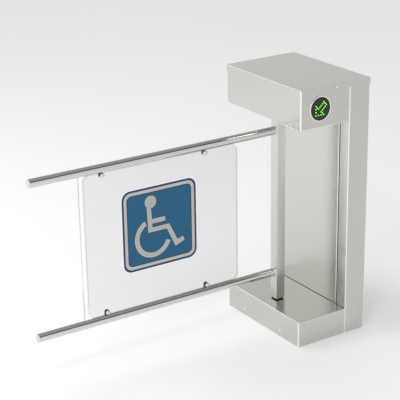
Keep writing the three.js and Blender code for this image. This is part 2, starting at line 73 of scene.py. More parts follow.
def length(name, description, default_mm, low_mm=0.0, high_mm=2000.0):
    """A length property, given in millimetres and kept in metres."""
    return FloatProperty(
        name=name,
        description=description,
        default=default_mm * MM,
        min=low_mm * MM,
        max=high_mm * MM,
        subtype="DISTANCE",
        unit="LENGTH",
        precision=4,
    )


def colour(name, description, default):
    """A colour property in linear RGB."""
    return FloatVectorProperty(
        name=name, description=description, default=default, size=3,
        min=0.0, max=1.0, subtype="COLOR",
    )


class GATE_PG_cabinet(bpy.types.PropertyGroup):
    """Sizes of the folded sheet cabinet."""

    sheet: length("Sheet", "Thickness of the cabinet sheets", 2)
    lid_sheet: length("Lid sheet", "Thickness of the lid's sheet", 1.5)
    bend: length("Bend radius", "Outer radius of the upright bends", 4)
    small_bend: length("Small bend radius", "Outer radius of the bends beside seams", 2.6)
    lid_corner: length("Lid corner", "Radius of the lid's upright corners", 4)
    lid_edge: length("Lid edge", "Radius of the lid's upper edge", 2)
    seam_return: length("Seam return", "How far a sheet folds in beside a seam", 3.6)
    burr: length("Edge rounding", "Rounding of cut sheet edges", 0.3)
    spindle_hole: length("Spindle hole", "Radius of the holes over and under the post", 22)


class GATE_PG_wing(bpy.types.PropertyGroup):
    """Sizes of the swing wing."""

    post_wall: length("Post wall", "Wall of the square post", 3)
    post_corner: length("Post corner", "Outer corner radius of the square post", 3.5)
    tube_wall: length("Tube wall", "Wall of the round tubes", 2)
    cap_edge: length("Cap edge", "Rounding of the tube caps", 1.4)
    panel_edge: length("Panel edge", "Rounding of the clear panel's edges", 0.9)
    panel_corner: length("Panel corner", "Corner radius of the clear panel", 25)
    fixing_hole: length("Fixing hole", "Radius of the holes in the clear panel", 2.5)
    weld: length("Weld", "Size of the weld fillets", 1.8)


class GATE_PG_sign(bpy.types.PropertyGroup):
    """Sizes and colours of the access sign."""

    corner: length("Corner", "Outer corner radius of the sign", 36)
    rim: length("Light rim", "Width of the outermost light line", 3.6)
    edge_line: length("Edge line", "Width of the dark line inside the rim", 8)
    band: length("Band", "Width of the pale frame", 11.5)
    inner_line: length("Inner line", "Width of the dark line inside the frame", 3.4)
    film: length("Film", "Thickness of the symbol's film", 0.12)
    field: colour("Field", "Colour of the sign's field", (0.0180, 0.1120, 0.2200))
    dark: colour("Dark line", "Colour of the dark lines", (0.0030, 0.0600, 0.1600))
    pale: colour("Pale", "Colour of the frame and the symbol's rim", (0.580, 0.505, 0.420))
    core: colour("Core", "Colour of the symbol's core", (0.450, 0.450, 0.415))
    white: colour("White", "Colour of the outermost line", (0.95, 0.95, 0.94))


class GATE_PG_indicator(bpy.types.PropertyGroup):
    """The round direction indicators."""

    pitch: length("Lamp pitch", "Distance between neighbouring lamp places", 5.8)
    lamp: length("Lamp radius", "Radius of one lamp", 1.95)
    lamp_height: length("Lamp height", "How far a lamp stands out", 0.45)
    places: IntProperty(
        name="Lamp places", description="Lamp places from the middle outwards",
        default=6, min=1, max=10,
    )
    lit: colour("Lit", "Colour of a lit lamp", (0.225, 1.0, 0.032))
    glow: FloatProperty(
        name="Glow", description="Strength of a lit lamp", default=2.8, min=0, max=20,
    )


class GATE_PG_finish(bpy.types.PropertyGroup):
    """Colours of the metals and of the clear panel."""

    steel: colour("Brushed steel", "Colour of the cabinet's steel", (0.622, 0.619, 0.586))
    polished: colour("Polished steel", "Colour of the tubes' steel", (0.70, 0.70, 0.675))
    steel_roughness: FloatProperty(
        name="Steel roughness", description="Roughness of the brushed steel",
        default=0.22, min=0.02, max=1.0, subtype="FACTOR",
    )
    panel: colour("Panel", "Tint of the clear panel", (0.16, 0.165, 0.165))
    panel_cover: FloatProperty(
        name="Panel cover", description="How much each face of the clear panel covers",
        default=0.10, min=0.0, max=1.0, subtype="FACTOR",
    )
    # The rim's cover darkens the clear panel's edges: painted shade.
    rim_shade_cover: FloatProperty(
        name="Rim cover", description="How much the clear panel's rim covers",
        default=0.40, min=0.0, max=1.0, subtype="FACTOR",
    )


class GATE_PG_stage(bpy.types.PropertyGroup):
    """Floor, lights and camera."""

    floor: length("Floor", "Half width of the floor", 40000, 1000, 100000)
    floor_glow: FloatProperty(
        name="Floor glow", description="Light that the floor gives off", default=0.19, min=0, max=2,
    )
    sun: FloatProperty(
        name="Sun", description="Strength of the even light on the floor", default=0.25, min=0, max=20,
    )
    lens: FloatProperty(
        name="Lens", description="Focal length of the camera", default=120.15,
        min=10, max=500, subtype="DISTANCE_CAMERA",
    )


# ---------------------------------------------------------------- mesh making


def block(low, high):
    """A box between two corners."""
    bm = bmesh.new()
    low, high = Vector(low), Vector(high)
    middle, size = (low + high) / 2, high - low
    bmesh.ops.create_cube(
        bm, size=1, matrix=Matrix.Translation(middle) @ Matrix.Diagonal((*size, 1))
    )
    return bm


def lies_at(item, **levels):
    """True if every vertex of an edge or face is at the given coordinates."""
    return all(
        abs(v.co["xyz".index(axis)] - level) < NEAR
        for v in item.verts for axis, level in levels.items()
    )


def edges_at(bm, **levels):
    return [e for e in bm.edges if lies_at(e, **levels)]


def faces_at(bm, **levels):
    return [f for f in bm.faces if lies_at(f, **levels)]


def edges_along(bm, axis):
    """Edges that run along one axis."""
    found = []
    for e in bm.edges:
        way = (e.verts[1].co - e.verts[0].co).normalized()
        if abs(way["xyz".index(axis)]) > ALONG_COSINE:
            found.append(e)
    return found


def open_edges(bm):
    """Edges with a face on one side only."""
    return [e for e in bm.edges if len(e.link_faces) == 1]


def verts_in(made):
    """The vertices among what a bmesh operator made."""
    return [v for v in made if isinstance(v, bmesh.types.BMVert)]


def drop_faces(bm, **levels):
    bmesh.ops.delete(bm, geom=faces_at(bm, **levels), context="FACES")


def round_edges(bm, edges, radius, steps, finish=-1):
    """Rounds edges. finish is the material slot of the new faces, or -1 for their neighbours'."""
    bmesh.ops.bevel(
        bm, geom=edges, offset=radius, offset_type="OFFSET", segments=steps,
        profile=0.5, affect="EDGES", clamp_overlap=True, material=finish,
    )


def slice_at(bm, axis, level):
    """Cuts every face where it crosses a level, and keeps both sides."""
    place, normal = Vector((0, 0, 0)), Vector((0, 0, 0))
    place["xyz".index(axis)], normal["xyz".index(axis)] = level, 1
    bmesh.ops.bisect_plane(
        bm, geom=[*bm.verts, *bm.edges, *bm.faces], dist=NEAR, plane_co=place, plane_no=normal,
    )


def fold(bm, edges, way):
    """Carries the sheet on from these edges, and returns the new edges."""
    made = bmesh.ops.extrude_edge_only(bm, edges=edges)["geom"]
    fresh = set(verts_in(made))
    bmesh.ops.translate(bm, verts=list(fresh), vec=way)
    return [e for e in made if isinstance(e, bmesh.types.BMEdge) and fresh.issuperset(e.verts)]


def facing(axis):
    """Turns +Z to the given axis."""
    return {
        "+x": Matrix.Rotation(QUARTER, 4, "Y"),
        "-x": Matrix.Rotation(-QUARTER, 4, "Y"),
        "+y": Matrix.Rotation(-QUARTER, 4, "X"),
        "-y": Matrix.Rotation(QUARTER, 4, "X"),
        "+z": Matrix.Identity(4),
    }[axis]


def cut_holes(bm, axis, level, holes, steps=48):
    """Cuts round holes, each a centre and a radius, into the largest face at a level."""
    face = max(faces_at(bm, **{axis: level}), key=lambda f: f.calc_area())
    edges, normal = list(face.edges), face.normal.copy()
    bmesh.ops.delete(bm, geom=[face], context="FACES_ONLY")
    for centre, radius in holes:
        made = bmesh.ops.create_circle(
            bm, cap_ends=False, radius=radius, segments=steps,
            matrix=Matrix.Translation(centre) @ facing("+" + axis),
        )["verts"]
        edges += {e for v in made for e in v.link_edges}
    bmesh.ops.triangle_fill(bm, use_beauty=True, edges=edges, normal=normal)


def face_outwards(bm, inside):
    """Turns the faces of an open sheet away from a point inside the cabinet."""
    bmesh.ops.recalc_face_normals(bm, faces=bm.faces)
    inside = Vector(inside)
    away = sum(
        f.normal.dot(f.calc_center_median() - inside) * f.calc_area() for f in bm.faces
    )
    if away < 0:
        bmesh.ops.reverse_faces(bm, faces=bm.faces)


def arc(centre, radius, start, end, steps):
    """Points on an arc in a turning profile, angles in degrees."""
    return [
        (
            centre[0] + radius * math.cos(math.radians(start + (end - start) * i / steps)),
            centre[1] + radius * math.sin(math.radians(start + (end - start) * i / steps)),
        )
        for i in range(steps + 1)
    ]


def turned(profile, place, steps=48, ring=False):
    """A closed turned piece: (radius, height) points spun about Z, then placed."""
    bm = bmesh.new()
    verts = [bm.verts.new((r, 0, h)) for r, h in profile]
    edges = [bm.edges.new(pair) for pair in zip(verts, verts[1:])]
    if ring:
        edges.append(bm.edges.new((verts[-1], verts[0])))
    bmesh.ops.spin(
        bm, geom=verts + edges, cent=(0, 0, 0), axis=(0, 0, 1), dvec=(0, 0, 0),
        angle=FULL_TURN, steps=steps, use_merge=True, use_duplicate=False,
    )
    bmesh.ops.remove_doubles(bm, verts=bm.verts, dist=NEAR)
    bmesh.ops.recalc_face_normals(bm, faces=bm.faces)
    bm.transform(place)
    return bm


def gathered(parts):
    """Several meshes as one."""
    whole = bmesh.new()
    for part in parts:
        carrier = bpy.data.meshes.new("carrier")
        part.to_mesh(carrier)
        part.free()
        whole.from_mesh(carrier)
        bpy.data.meshes.remove(carrier)
    return whole


def rounded_face(bm, half_x, half_z, radius, place, steps=10):
    """A rounded rectangle in the XZ plane round a point, looking to -Y."""
    made = bmesh.ops.create_circle(
        bm, cap_ends=True, cap_tris=False, segments=4, radius=math.sqrt(2),
        matrix=Matrix.Translation(place) @ facing("-y")
        @ Matrix.Diagonal((half_x, half_z, 1, 1)) @ Matrix.Rotation(math.pi / 4, 4, "Z"),
    )["verts"]
    made = bmesh.ops.bevel(
        bm, geom=made, offset=radius, offset_type="OFFSET", segments=steps,
        profile=0.5, affect="VERTICES", clamp_overlap=True, material=-1,
    )["verts"]
    return made[0].link_faces[0]


def put(name, bm, body, materials, stands_for=(), sharp=40.0):
    """Makes a finished piece of a mesh and lets it ride on a body of the frame."""
    mesh = bpy.data.meshes.new(name)
    bm.to_mesh(mesh)
    bm.free()
    for material in materials:
        mesh.materials.append(material)
    mesh.polygons.foreach_set("use_smooth", [True] * len(mesh.polygons))
    mesh.set_sharp_from_angle(angle=math.radians(sharp))
    piece = bpy.data.objects.new(name, mesh)
    bpy.context.scene.collection.objects.link(piece)
    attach(piece, body)
    if stands_for:
        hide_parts(*stands_for)
    return piece


def thicken(piece, thickness):
    """Gives a sheet its thickness, inwards."""
    wall = piece.modifiers.new("Sheet thickness", "SOLIDIFY")
    wall.thickness = thickness
    wall.offset = -1
    wall.use_even_offset = True
    wall.use_quality_normals = True


def soften(piece, width, steps=2, angle=50.0):
    """Rounds the cut edges a little."""
    edge = piece.modifiers.new("Cut edges", "BEVEL")
    edge.width = width
    edge.segments = steps
    edge.limit_method = "ANGLE"
    edge.angle_limit = math.radians(angle)
    edge.use_clamp_overlap = True


def settle(piece):
    """Keeps flat faces flat in the shading beside their rounded edges."""
    normals = piece.modifiers.new("Flat faces", "WEIGHTED_NORMAL")
    normals.mode = "FACE_AREA"
    normals.weight = 50
    normals.keep_sharp = False


def sheet_piece(name, bm, inside, thickness, grain, node):
    """A folded sheet: outer surface made, thickness and edge rounding by modifiers."""
    sizes = bpy.context.scene.gate_cabinet
    face_outwards(bm, inside)
    # The second slot, for the bends, is bright steel: a painted highlight along every bend.
    finishes = [brushed_steel(grain), bright_steel_and_highlight()]
    piece = put(name, bm, "cabinet", finishes, [node])
    thicken(piece, thickness)
    soften(piece, sizes.burr)
    settle(piece)
    return piece


# ---------------------------------------------------------------- materials


class Finish:
    """A node material under construction."""

    def __init__(self, name):
        self.material = bpy.data.materials.new(name)
        self.material.use_nodes = True
        self.nodes = self.material.node_tree.nodes
        self.links = self.material.node_tree.links
        self.shader = self.nodes["Principled BSDF"]
        self.space = self.nodes.new("ShaderNodeTexCoord")

    def set(self, **values):
        for socket, value in values.items():
            self.shader.inputs[socket.replace("_", " ")].default_value = value
        return self

    def add(self, kind, links=(), **values):
        node = self.nodes.new(kind)
        for key, value in values.items():
            setattr(node, key, value)
        for source, socket in links:
            self.links.new(source, node.inputs[socket])
        return node

    def noise(self, scale, detail=2.0, stretch=None, roughness=0.5):
        """Noise on Object coordinates. stretch scales the pattern along X, Y and Z."""
        source = self.space.outputs["Object"]
        if stretch:
            mapping = self.add("ShaderNodeMapping", [(source, "Vector")])
            mapping.inputs["Scale"].default_value = stretch
            source = mapping.outputs["Vector"]
        node = self.add("ShaderNodeTexNoise", [(source, "Vector")])
        node.inputs["Scale"].default_value = scale
        node.inputs["Detail"].default_value = detail
        node.inputs["Roughness"].default_value = roughness
        return node.outputs["Fac"]

    def spread(self, source, low, high, start=0.3, end=0.7):
        """Takes a pattern's values to a range."""
        node = self.add("ShaderNodeMapRange", [(source, "Value")])
        for socket, value in (
            ("From Min", start), ("From Max", end), ("To Min", low), ("To Max", high),
        ):
            node.inputs[socket].default_value = value
        return node.outputs["Result"]

    def sum(self, *sources):
        total = sources[0]
        for source in sources[1:]:
            node = self.add("ShaderNodeMath", operation="ADD")
            self.links.new(total, node.inputs[0])
            self.links.new(source, node.inputs[1])
            total = node.outputs[0]
        return total

    def blend(self, factor, first, second):
        """Blends two colours by a pattern."""
        node = self.add("ShaderNodeMix", data_type="RGBA")
        self.links.new(factor, node.inputs[0])
        node.inputs[6].default_value = (*first, 1)
        node.inputs[7].default_value = (*second, 1)
        return node.outputs[2]

    def mottle(self, scale, detail, first, second):
        """Base colour that wanders between two colours."""
        tone = self.spread(self.noise(scale, detail), 0, 1)
        return self.to(self.blend(tone, first, second), "Base Color")

    def to(self, source, socket):
        self.links.new(source, self.shader.inputs[socket])
        return self

    def bump(self, source, strength, depth):
        node = self.add("ShaderNodeBump", [(source, "Height")])
        node.inputs["Strength"].default_value = strength
        node.inputs["Distance"].default_value = depth
        return self.to(node.outputs["Normal"], "Normal")


def shade(rgb, factor):
    return tuple(min(1.0, c * factor) for c in rgb)


MATERIALS = {}


def kept(make):
    """Makes each material once, by name."""

    def finish(*args):
        key = (make.__name__, *args)
        if key not in MATERIALS:
            MATERIALS[key] = make(*args).material
        return MATERIALS[key]

    return finish


@kept
def brushed_steel(grain):
    """Brushed stainless steel: fine grain one way, faint handling marks."""
    look = bpy.context.scene.gate_finish
    made = Finish(f"brushed_steel_{grain}")
    made.set(Metallic=1.0)
    if grain == "upright":
        lines = made.noise(24, 3, (60, 60, 0.6), 0.6)
    else:
        side = made.noise(24, 3, (0.6, 0.6, 60), 0.6)
        top = made.noise(24, 3, (0.6, 60, 60), 0.6)
        normal = made.add("ShaderNodeSeparateXYZ", [(made.space.outputs["Normal"], "Vector")])
        upward = made.add("ShaderNodeMath", operation="ABSOLUTE")
        made.links.new(normal.outputs["Z"], upward.inputs[0])
        pick = made.add("ShaderNodeMix", data_type="FLOAT")
        for source, socket in ((upward.outputs[0], 0), (side, 2), (top, 3)):
            made.links.new(source, pick.inputs[socket])
        lines = pick.outputs[0]
    marks = made.noise(5.5, 3)
    tone = made.sum(made.spread(lines, -0.3, 0.3), made.spread(marks, 0.4, 0.6))
    made.to(made.blend(tone, shade(look.steel, 0.980), shade(look.steel, 1.020)), "Base Color")
    rough = look.steel_roughness
    made.to(
        made.sum(made.spread(lines, rough - 0.03, rough + 0.03), made.spread(marks, -0.01, 0.01)),
        "Roughness",
    )
    return made.bump(lines, 0.04, 0.00001)


@kept
def polished_steel(grain):
    """Polished stainless steel with hair-fine lines along the piece."""
    look = bpy.context.scene.gate_finish
    made = Finish(f"polished_steel_{grain}")
    made.set(Metallic=1.0)
    stretch = {"x": (0.5, 70, 70), "y": (70, 0.5, 70), "z": (70, 70, 0.5)}[grain]
    lines = made.noise(24, 3, stretch, 0.6)
    marks = made.noise(14, 3)
    made.to(
        made.blend(made.spread(marks, 0, 1), shade(look.polished, 0.97), look.polished), "Base Color"
    )
    made.to(made.sum(made.spread(lines, 0.08, 0.13), made.spread(marks, -0.01, 0.02)), "Roughness")
    return made.bump(lines, 0.04, 0.00001)


@kept
def bright_steel_and_highlight():
    """Satin-bright steel, lighter than the sheets' steel: a painted highlight on the sheets' bends,
    and on the screw heads and bezel rings their bright finish lightened by a painted highlight.
    """
    made = Finish("bright_steel_and_highlight")
    made.set(Metallic=1.0)
    fine_lines = made.noise(700, 2)
    made.mottle(60, 2, (0.93,) * 3, (0.96,) * 3)
    made.to(made.spread(fine_lines, 0.36, 0.46), "Roughness")
    return made.bump(fine_lines, 0.05, 0.00001)


@kept
def machined_steel():
    """Turned and milled steel with its tool marks."""
    made = Finish("machined_steel")
    made.set(Metallic=1.0)
    cuts = made.noise(900, 2, (1, 1, 0.05))
    made.mottle(60, 3, (0.46, 0.46, 0.45), (0.56, 0.56, 0.55))
    made.to(made.spread(cuts, 0.24, 0.40), "Roughness")
    return made.bump(cuts, 0.15, 0.00002)


@kept
def painted_metal(name, low, high):
    """Powder coat with its fine orange peel."""
    made = Finish(name)
    peel = made.noise(1400, 2)
    made.mottle(30, 3, low, high)
    made.to(made.spread(peel, 0.38, 0.52), "Roughness")
    return made.bump(peel, 0.25, 0.00005)


@kept
def moulded_plastic(name, low, high):
    """Moulded plastic with a fine grain."""
    made = Finish(name)
    grain = made.noise(2600, 3)
    made.mottle(45, 2, low, high)
    made.to(made.spread(grain, 0.36, 0.50), "Roughness")
    return made.bump(grain, 0.3, 0.00004)


@kept
def circuit_board():
    """Solder mask with faint tracks."""
    made = Finish("circuit_board")
    bricks = made.add("ShaderNodeTexBrick", [(made.space.outputs["Object"], "Vector")])
    bricks.inputs["Scale"].default_value = 60
    bricks.inputs["Color1"].default_value = (0.012, 0.105, 0.035, 1)
    bricks.inputs["Color2"].default_value = (0.016, 0.135, 0.045, 1)
    bricks.inputs["Mortar"].default_value = (0.045, 0.24, 0.08, 1)
    made.to(bricks.outputs["Color"], "Base Color")
    made.to(made.spread(made.noise(200, 2), 0.22, 0.38), "Roughness")
    return made


@kept
def indicator_lens():
    """Smoked lens in front of the lamps."""
    made = Finish("indicator_lens")
    made.set(Specular_IOR_Level=0.35)
    made.mottle(90, 2, (0.012, 0.012, 0.012), (0.020, 0.021, 0.020))
    made.to(made.spread(made.noise(40, 3), 0.16, 0.24), "Roughness")
    return made


@kept
def lamp_lit():
    """A lamp of the arrow, which glows."""
    look = bpy.context.scene.gate_indicator
    made = Finish("lamp_lit")
    made.set(Emission_Color=(*look.lit, 1), Emission_Strength=look.glow)
    made.mottle(500, 2, (0.05, 0.30, 0.01), (0.08, 0.40, 0.02))
    made.to(made.spread(made.noise(300, 2), 0.25, 0.4), "Roughness")
    return made


@kept
def lamp_dark():
    """A lamp place that isn't part of the arrow."""
    made = Finish("lamp_dark")
    made.mottle(500, 2, (0.016, 0.017, 0.016), (0.028, 0.030, 0.028))
    made.to(made.spread(made.noise(300, 2), 0.25, 0.4), "Roughness")
    return made


@kept
def panel_face():
    """The clear sheet's faces: a light grey tint and a gloss."""
    look = bpy.context.scene.gate_finish
    made = Finish("panel_face")
    made.set(Alpha=look.panel_cover, IOR=1.49)
    made.mottle(9, 2, shade(look.panel, 0.94), shade(look.panel, 1.06))
    made.to(made.spread(made.noise(18, 3), 0.02, 0.07), "Roughness")
    return made


@kept
def panel_rim_shade():
    """The clear sheet's cut and polished edges: a darker, more covering copy of the sheet's finish,
    painted shade for the dark line along the sheet's edge.
    """
    look = bpy.context.scene.gate_finish
    made = Finish("panel_rim_shade")
    made.set(Alpha=look.rim_shade_cover, IOR=1.49)
    made.mottle(25, 2, (0.20, 0.205, 0.20), (0.28, 0.285, 0.28))
    made.to(made.spread(made.noise(220, 2, (1, 12, 1)), 0.08, 0.2), "Roughness")
    return made


@kept
def printed(name, rgb):
    """Printed and laminated colour."""
    made = Finish(name)
    made.set(Specular_IOR_Level=0.2, Coat_Weight=0.05, Coat_Roughness=0.12)
    made.mottle(35, 3, shade(rgb, 0.96), shade(rgb, 1.04))
    fibre = made.noise(1800, 2)
    made.to(made.spread(fibre, 0.40, 0.52), "Roughness")
    return made.bump(fibre, 0.08, 0.00002)


def black_plastic():
    return moulded_plastic("black_plastic", (0.012, 0.012, 0.012), (0.022, 0.022, 0.022))


def black_rubber():
    return moulded_plastic("black_rubber", (0.016, 0.016, 0.016), (0.028, 0.028, 0.027))


# ---------------------------------------------------------------- cabinet


class GATE_OT_lid(bpy.types.Operator):
    """Folded lid: flat top, lip all round, rounded corners and two screw holes"""

    bl_idname = "gate.lid"
    bl_label = "Lid"

    def execute(self, context):
        sizes = context.scene.gate_cabinet
        low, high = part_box("lid")
        screw = screw_places()["lid_screw_front"]
        bm = block(low, high)
        drop_faces(bm, z=low.z)
        round_edges(bm, edges_along(bm, "z"), sizes.lid_corner, 6, BEND_HIGHLIGHT_SLOT)
        round_edges(bm, edges_at(bm, z=high.z), sizes.lid_edge, 4, BEND_HIGHLIGHT_SLOT)
        for y in (low.y, high.y):
            cut_holes(bm, "y", y, [((screw.x, y, screw.z), SCREW_HOLE)], 24)
        inside = Vector(((low.x + high.x) / 2, (low.y + high.y) / 2, low.z))
        sheet_piece("lid_sheet", bm, inside, sizes.lid_sheet, "level", "lid")
        return {"FINISHED"}


def screw_places():
    """Middle of each cabinet screw's head, on the sheet that it holds."""
    places = {}
    for name in ("lid_screw_front", "lid_screw_rear", "base_screw_front", "base_screw_rear"):
        low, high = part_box(name)
        places[name] = (low + high) / 2
    return places


def jutting_sheet(low, high, open_level, cover_level, step):
    """The sheet round the head or the base: open above or below and towards the column."""
    sizes = bpy.context.scene.gate_cabinet
    bm = block(low, high)
    drop_faces(bm, z=open_level)
    drop_faces(bm, x=high.x)
    seam_end = cover_level + step
    slice_at(bm, "z", seam_end)
    for y, way in ((low.y, 1), (high.y, -1)):
        seam = [
            e for e in edges_at(bm, x=high.x, y=y)
            if max(abs(v.co.z - cover_level) for v in e.verts) > abs(step) + NEAR
        ]
        fold(bm, seam, (0, way * sizes.seam_return, 0))
    upright = [
        e for e in edges_along(bm, "z")
        if lies_at(e, x=low.x) and abs(abs(e.verts[0].co.y) - high.y) < NEAR
    ]
    round_edges(bm, upright, sizes.bend, 7, BEND_HIGHLIGHT_SLOT)
    seams = [
        e for y in (low.y, high.y) for e in edges_at(bm, x=high.x, y=y) if len(e.link_faces) == 2
    ]
    round_edges(bm, seams, sizes.small_bend, 5, BEND_HIGHLIGHT_SLOT)
    rim = [
        e for e in edges_at(bm, z=cover_level)
        if len(e.link_faces) == 2
        and abs(e.link_faces[0].normal.z) + abs(e.link_faces[1].normal.z) < 1.5
    ]
    round_edges(bm, rim, sizes.small_bend, 5, BEND_HIGHLIGHT_SLOT)
    return bm


class GATE_OT_head_housing(bpy.types.Operator):
    """Head housing over the post: folded sheet with indicator and spindle holes"""

    bl_idname = "gate.head_housing"
    bl_label = "Head housing"

    def execute(self, context):
        sizes = context.scene.gate_cabinet
        low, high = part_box("head_housing")
        bm = jutting_sheet(low, high, high.z, low.z, SEAM_STEP)
        lens_low, lens_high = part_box("indicator_lens_front")
        lens = (lens_low + lens_high) / 2
        lens_hole = (lens_high.x - lens_low.x) / 2 + 1 * MM
        screw = screw_places()["lid_screw_front"]
        for y in (low.y, high.y):
            cut_holes(bm, "y", y, [
                ((lens.x, y, lens.z), lens_hole), ((screw.x, y, screw.z), SCREW_HOLE),
            ], 64)
        cut_holes(bm, "z", low.z, [((0, 0, low.z), sizes.spindle_hole)], 64)
        middle = (low + high) / 2
        sheet_piece("head_housing_sheet", bm, middle, sizes.sheet, "level", "head_housing")
        return {"FINISHED"}


class GATE_OT_base_cover(bpy.types.Operator):
    """Base cover under the post: folded sheet with spindle and screw holes"""

    bl_idname = "gate.base_cover"
    bl_label = "Base cover"

    def execute(self, context):
        sizes = context.scene.gate_cabinet
        low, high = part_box("base_cover")
        bm = jutting_sheet(low, high, low.z, high.z, -SEAM_STEP)
        cut_holes(bm, "z", high.z, [((0, 0, high.z), sizes.spindle_hole)], 64)
        places = screw_places()
        cut_holes(bm, "x", low.x, [
            ((low.x, places[n].y, places[n].z), SCREW_HOLE)
            for n in ("base_screw_front", "base_screw_rear")
        ], 24)
        middle = (low + high) / 2
        sheet_piece("base_cover_sheet", bm, middle, sizes.sheet, "level", "base_cover")
        return {"FINISHED"}


def square_bends(bm, x):
    """Upright edges at a level of X where two faces meet at a right angle."""
    return [
        e for e in edges_along(bm, "z")
        if lies_at(e, x=x) and len(e.link_faces) == 2
        and abs(e.link_faces[0].normal.dot(e.link_faces[1].normal)) < BEND_COSINE
    ]


def column_casing(side):
    """One side of the column: wide face, flange with the groove's lip, return at the back."""
    sizes = bpy.context.scene.gate_cabinet
    node = "column_front_casing" if side == FRONT else "column_rear_casing"
    low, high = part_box(node)
    door_low, door_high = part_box("column_door")
    face_y = low.y if side == FRONT else high.y
    inward = -side
    groove_y = high.y if side == FRONT else low.y
    flange_bottom, flange_top = door_low.z + FLANGE_PLAY, door_high.z - FLANGE_PLAY
    near_y, far_y = sorted((face_y, face_y + inward * MM))
    bm = block((low.x, near_y, low.z), (high.x, far_y, high.z))
    bmesh.ops.delete(
        bm, geom=[f for f in bm.faces if not lies_at(f, y=face_y)], context="FACES"
    )
    for level in (flange_bottom, flange_top):
        slice_at(bm, "z", level)
    fold(bm, edges_at(bm, x=high.x), (0, inward * CASING_RETURN, 0))
    seam = fold(bm, edges_at(bm, x=low.x), (0, inward * sizes.seam_return, 0))
    flange = [
        e for e in seam
        if all(flange_bottom - NEAR < v.co.z < flange_top + NEAR for v in e.verts)
    ]
    depth = abs(groove_y - face_y) - sizes.seam_return
    flange = fold(bm, flange, (0, inward * depth, 0))
    fold(bm, flange, (door_high.x - low.x, 0, 0))
    round_edges(bm, square_bends(bm, high.x), sizes.bend, 7, BEND_HIGHLIGHT_SLOT)
    round_edges(bm, square_bends(bm, low.x), sizes.small_bend, 5, BEND_HIGHLIGHT_SLOT)
    inside = Vector(((low.x + high.x) / 2 + 20 * MM, 0, (low.z + high.z) / 2))
    name = "column_front_sheet" if side == FRONT else "column_rear_sheet"
    sheet_piece(name, bm, inside, sizes.sheet, "upright", node)


def column_tray(name, node, face_x, open_x):
    """A tray with folded edges, open towards the inside of the column."""
    sizes = bpy.context.scene.gate_cabinet
    low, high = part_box(node)
    bm = block(low, high)
    drop_faces(bm, x=open_x)
    round_edges(bm, edges_along(bm, "x"), sizes.small_bend, 5, BEND_HIGHLIGHT_SLOT)
    round_edges(bm, edges_at(bm, x=face_x), sizes.small_bend, 5, BEND_HIGHLIGHT_SLOT)
    inside = (low + high) / 2
    inside.x = open_x
    sheet_piece(name, bm, inside, sizes.sheet, "upright", node)


class GATE_OT_column(bpy.types.Operator):
    """Column: front and rear casing, door between the grooves, outer panel"""

    bl_idname = "gate.column"
    bl_label = "Column"

    def execute(self, context):
        column_casing(FRONT)
        column_casing(REAR)
        low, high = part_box("column_door")
        column_tray("column_door_sheet", "column_door", low.x, high.x)
        low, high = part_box("column_outer_panel")
        column_tray("column_outer_sheet", "column_outer_panel", high.x, low.x)
        return {"FINISHED"}


LID_HEAD_HEIGHT, BASE_HEAD_HEIGHT = 2.1 * MM, 2.8 * MM
HEAD_PLAY = 0.15 * MM  # how far a head stays inside its CAD face
SHANK_PLAY = 0.2 * MM
SCREW_SHANK = 2 * MM
SOCKET_SHARE = 0.34  # socket radius over head radius
SOCKET_DEPTH = 0.6  # socket depth over head height
CROWN_DEGREES, CROWN_STEPS = 66, 7


def socket_screw(head_r, head_h, shank_r, shank_len, socket_r, place):
    """Dome-headed screw with a hexagon socket, head upwards from Z 0, then placed."""
    steps = 24
    crown = [
        (head_r * math.sin(a), head_h * (0.22 + 0.78 * math.cos(a)))
        for a in (
            math.radians(90 - CROWN_DEGREES * i / CROWN_STEPS) for i in range(CROWN_STEPS + 1)
        )
    ]
    profile = [(0, -shank_len), (shank_r * 0.8, -shank_len), (shank_r, -shank_len + 0.4 * MM),
               (shank_r, 0), (head_r - 0.3 * MM, 0), *crown]
    bm = turned(profile, Matrix.Identity(4), steps)
    top = max(v.co.z for v in bm.verts)
    rim = [e for e in bm.edges if len(e.link_faces) == 1 and lies_at(e, z=top)]
    hexagon = bmesh.ops.create_circle(
        bm, cap_ends=False, radius=socket_r, segments=6,
        matrix=Matrix.Translation((0, 0, top + 0.1 * MM)),
    )["verts"]
    sides = list({e for v in hexagon for e in v.link_edges})
    bmesh.ops.subdivide_edges(bm, edges=sides, cuts=steps // 6 - 1)
    sides = [e for e in bm.edges if not e.link_faces]
    bmesh.ops.bridge_loops(bm, edges=rim + sides)
    walls = bmesh.ops.extrude_edge_only(bm, edges=open_edges(bm))["geom"]
    bmesh.ops.translate(bm, verts=verts_in(walls), vec=(0, 0, -SOCKET_DEPTH * head_h))
    bmesh.ops.edgeloop_fill(bm, edges=open_edges(bm))
    bmesh.ops.recalc_face_normals(bm, faces=bm.faces)
    bm.transform(place)
    return bm


class GATE_OT_cabinet_screws(bpy.types.Operator):
    """Dome-headed socket screws in the lid's lip and in the base cover"""

    bl_idname = "gate.cabinet_screws"
    bl_label = "Cabinet screws"

    def execute(self, context):
        for name, way in (
            ("lid_screw_front", "-y"), ("lid_screw_rear", "+y"),
            ("base_screw_front", "-x"), ("base_screw_rear", "-x"),
        ):
            low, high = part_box(name)
            axis = "xyz".index(way[1])
            middle, size = (low + high) / 2, high - low
            head_r = max(size[i] for i in range(3) if i != axis) / 2
            head_h = LID_HEAD_HEIGHT if name.startswith("lid") else BASE_HEAD_HEIGHT
            seat = low[axis] + head_h if way[0] == "-" else high[axis] - head_h
            middle[axis] = seat
            bm = socket_screw(
                head_r, head_h - HEAD_PLAY, SCREW_SHANK, size[axis] - head_h - SHANK_PLAY,
                head_r * SOCKET_SHARE, Matrix.Translation(middle) @ facing(way),
            )
            # The screw heads' bright steel is their finish, partly lightened into a painted highlight.
            put(f"{name}_head", bm, "cabinet", [bright_steel_and_highlight()], [name])
        return {"FINISHED"}


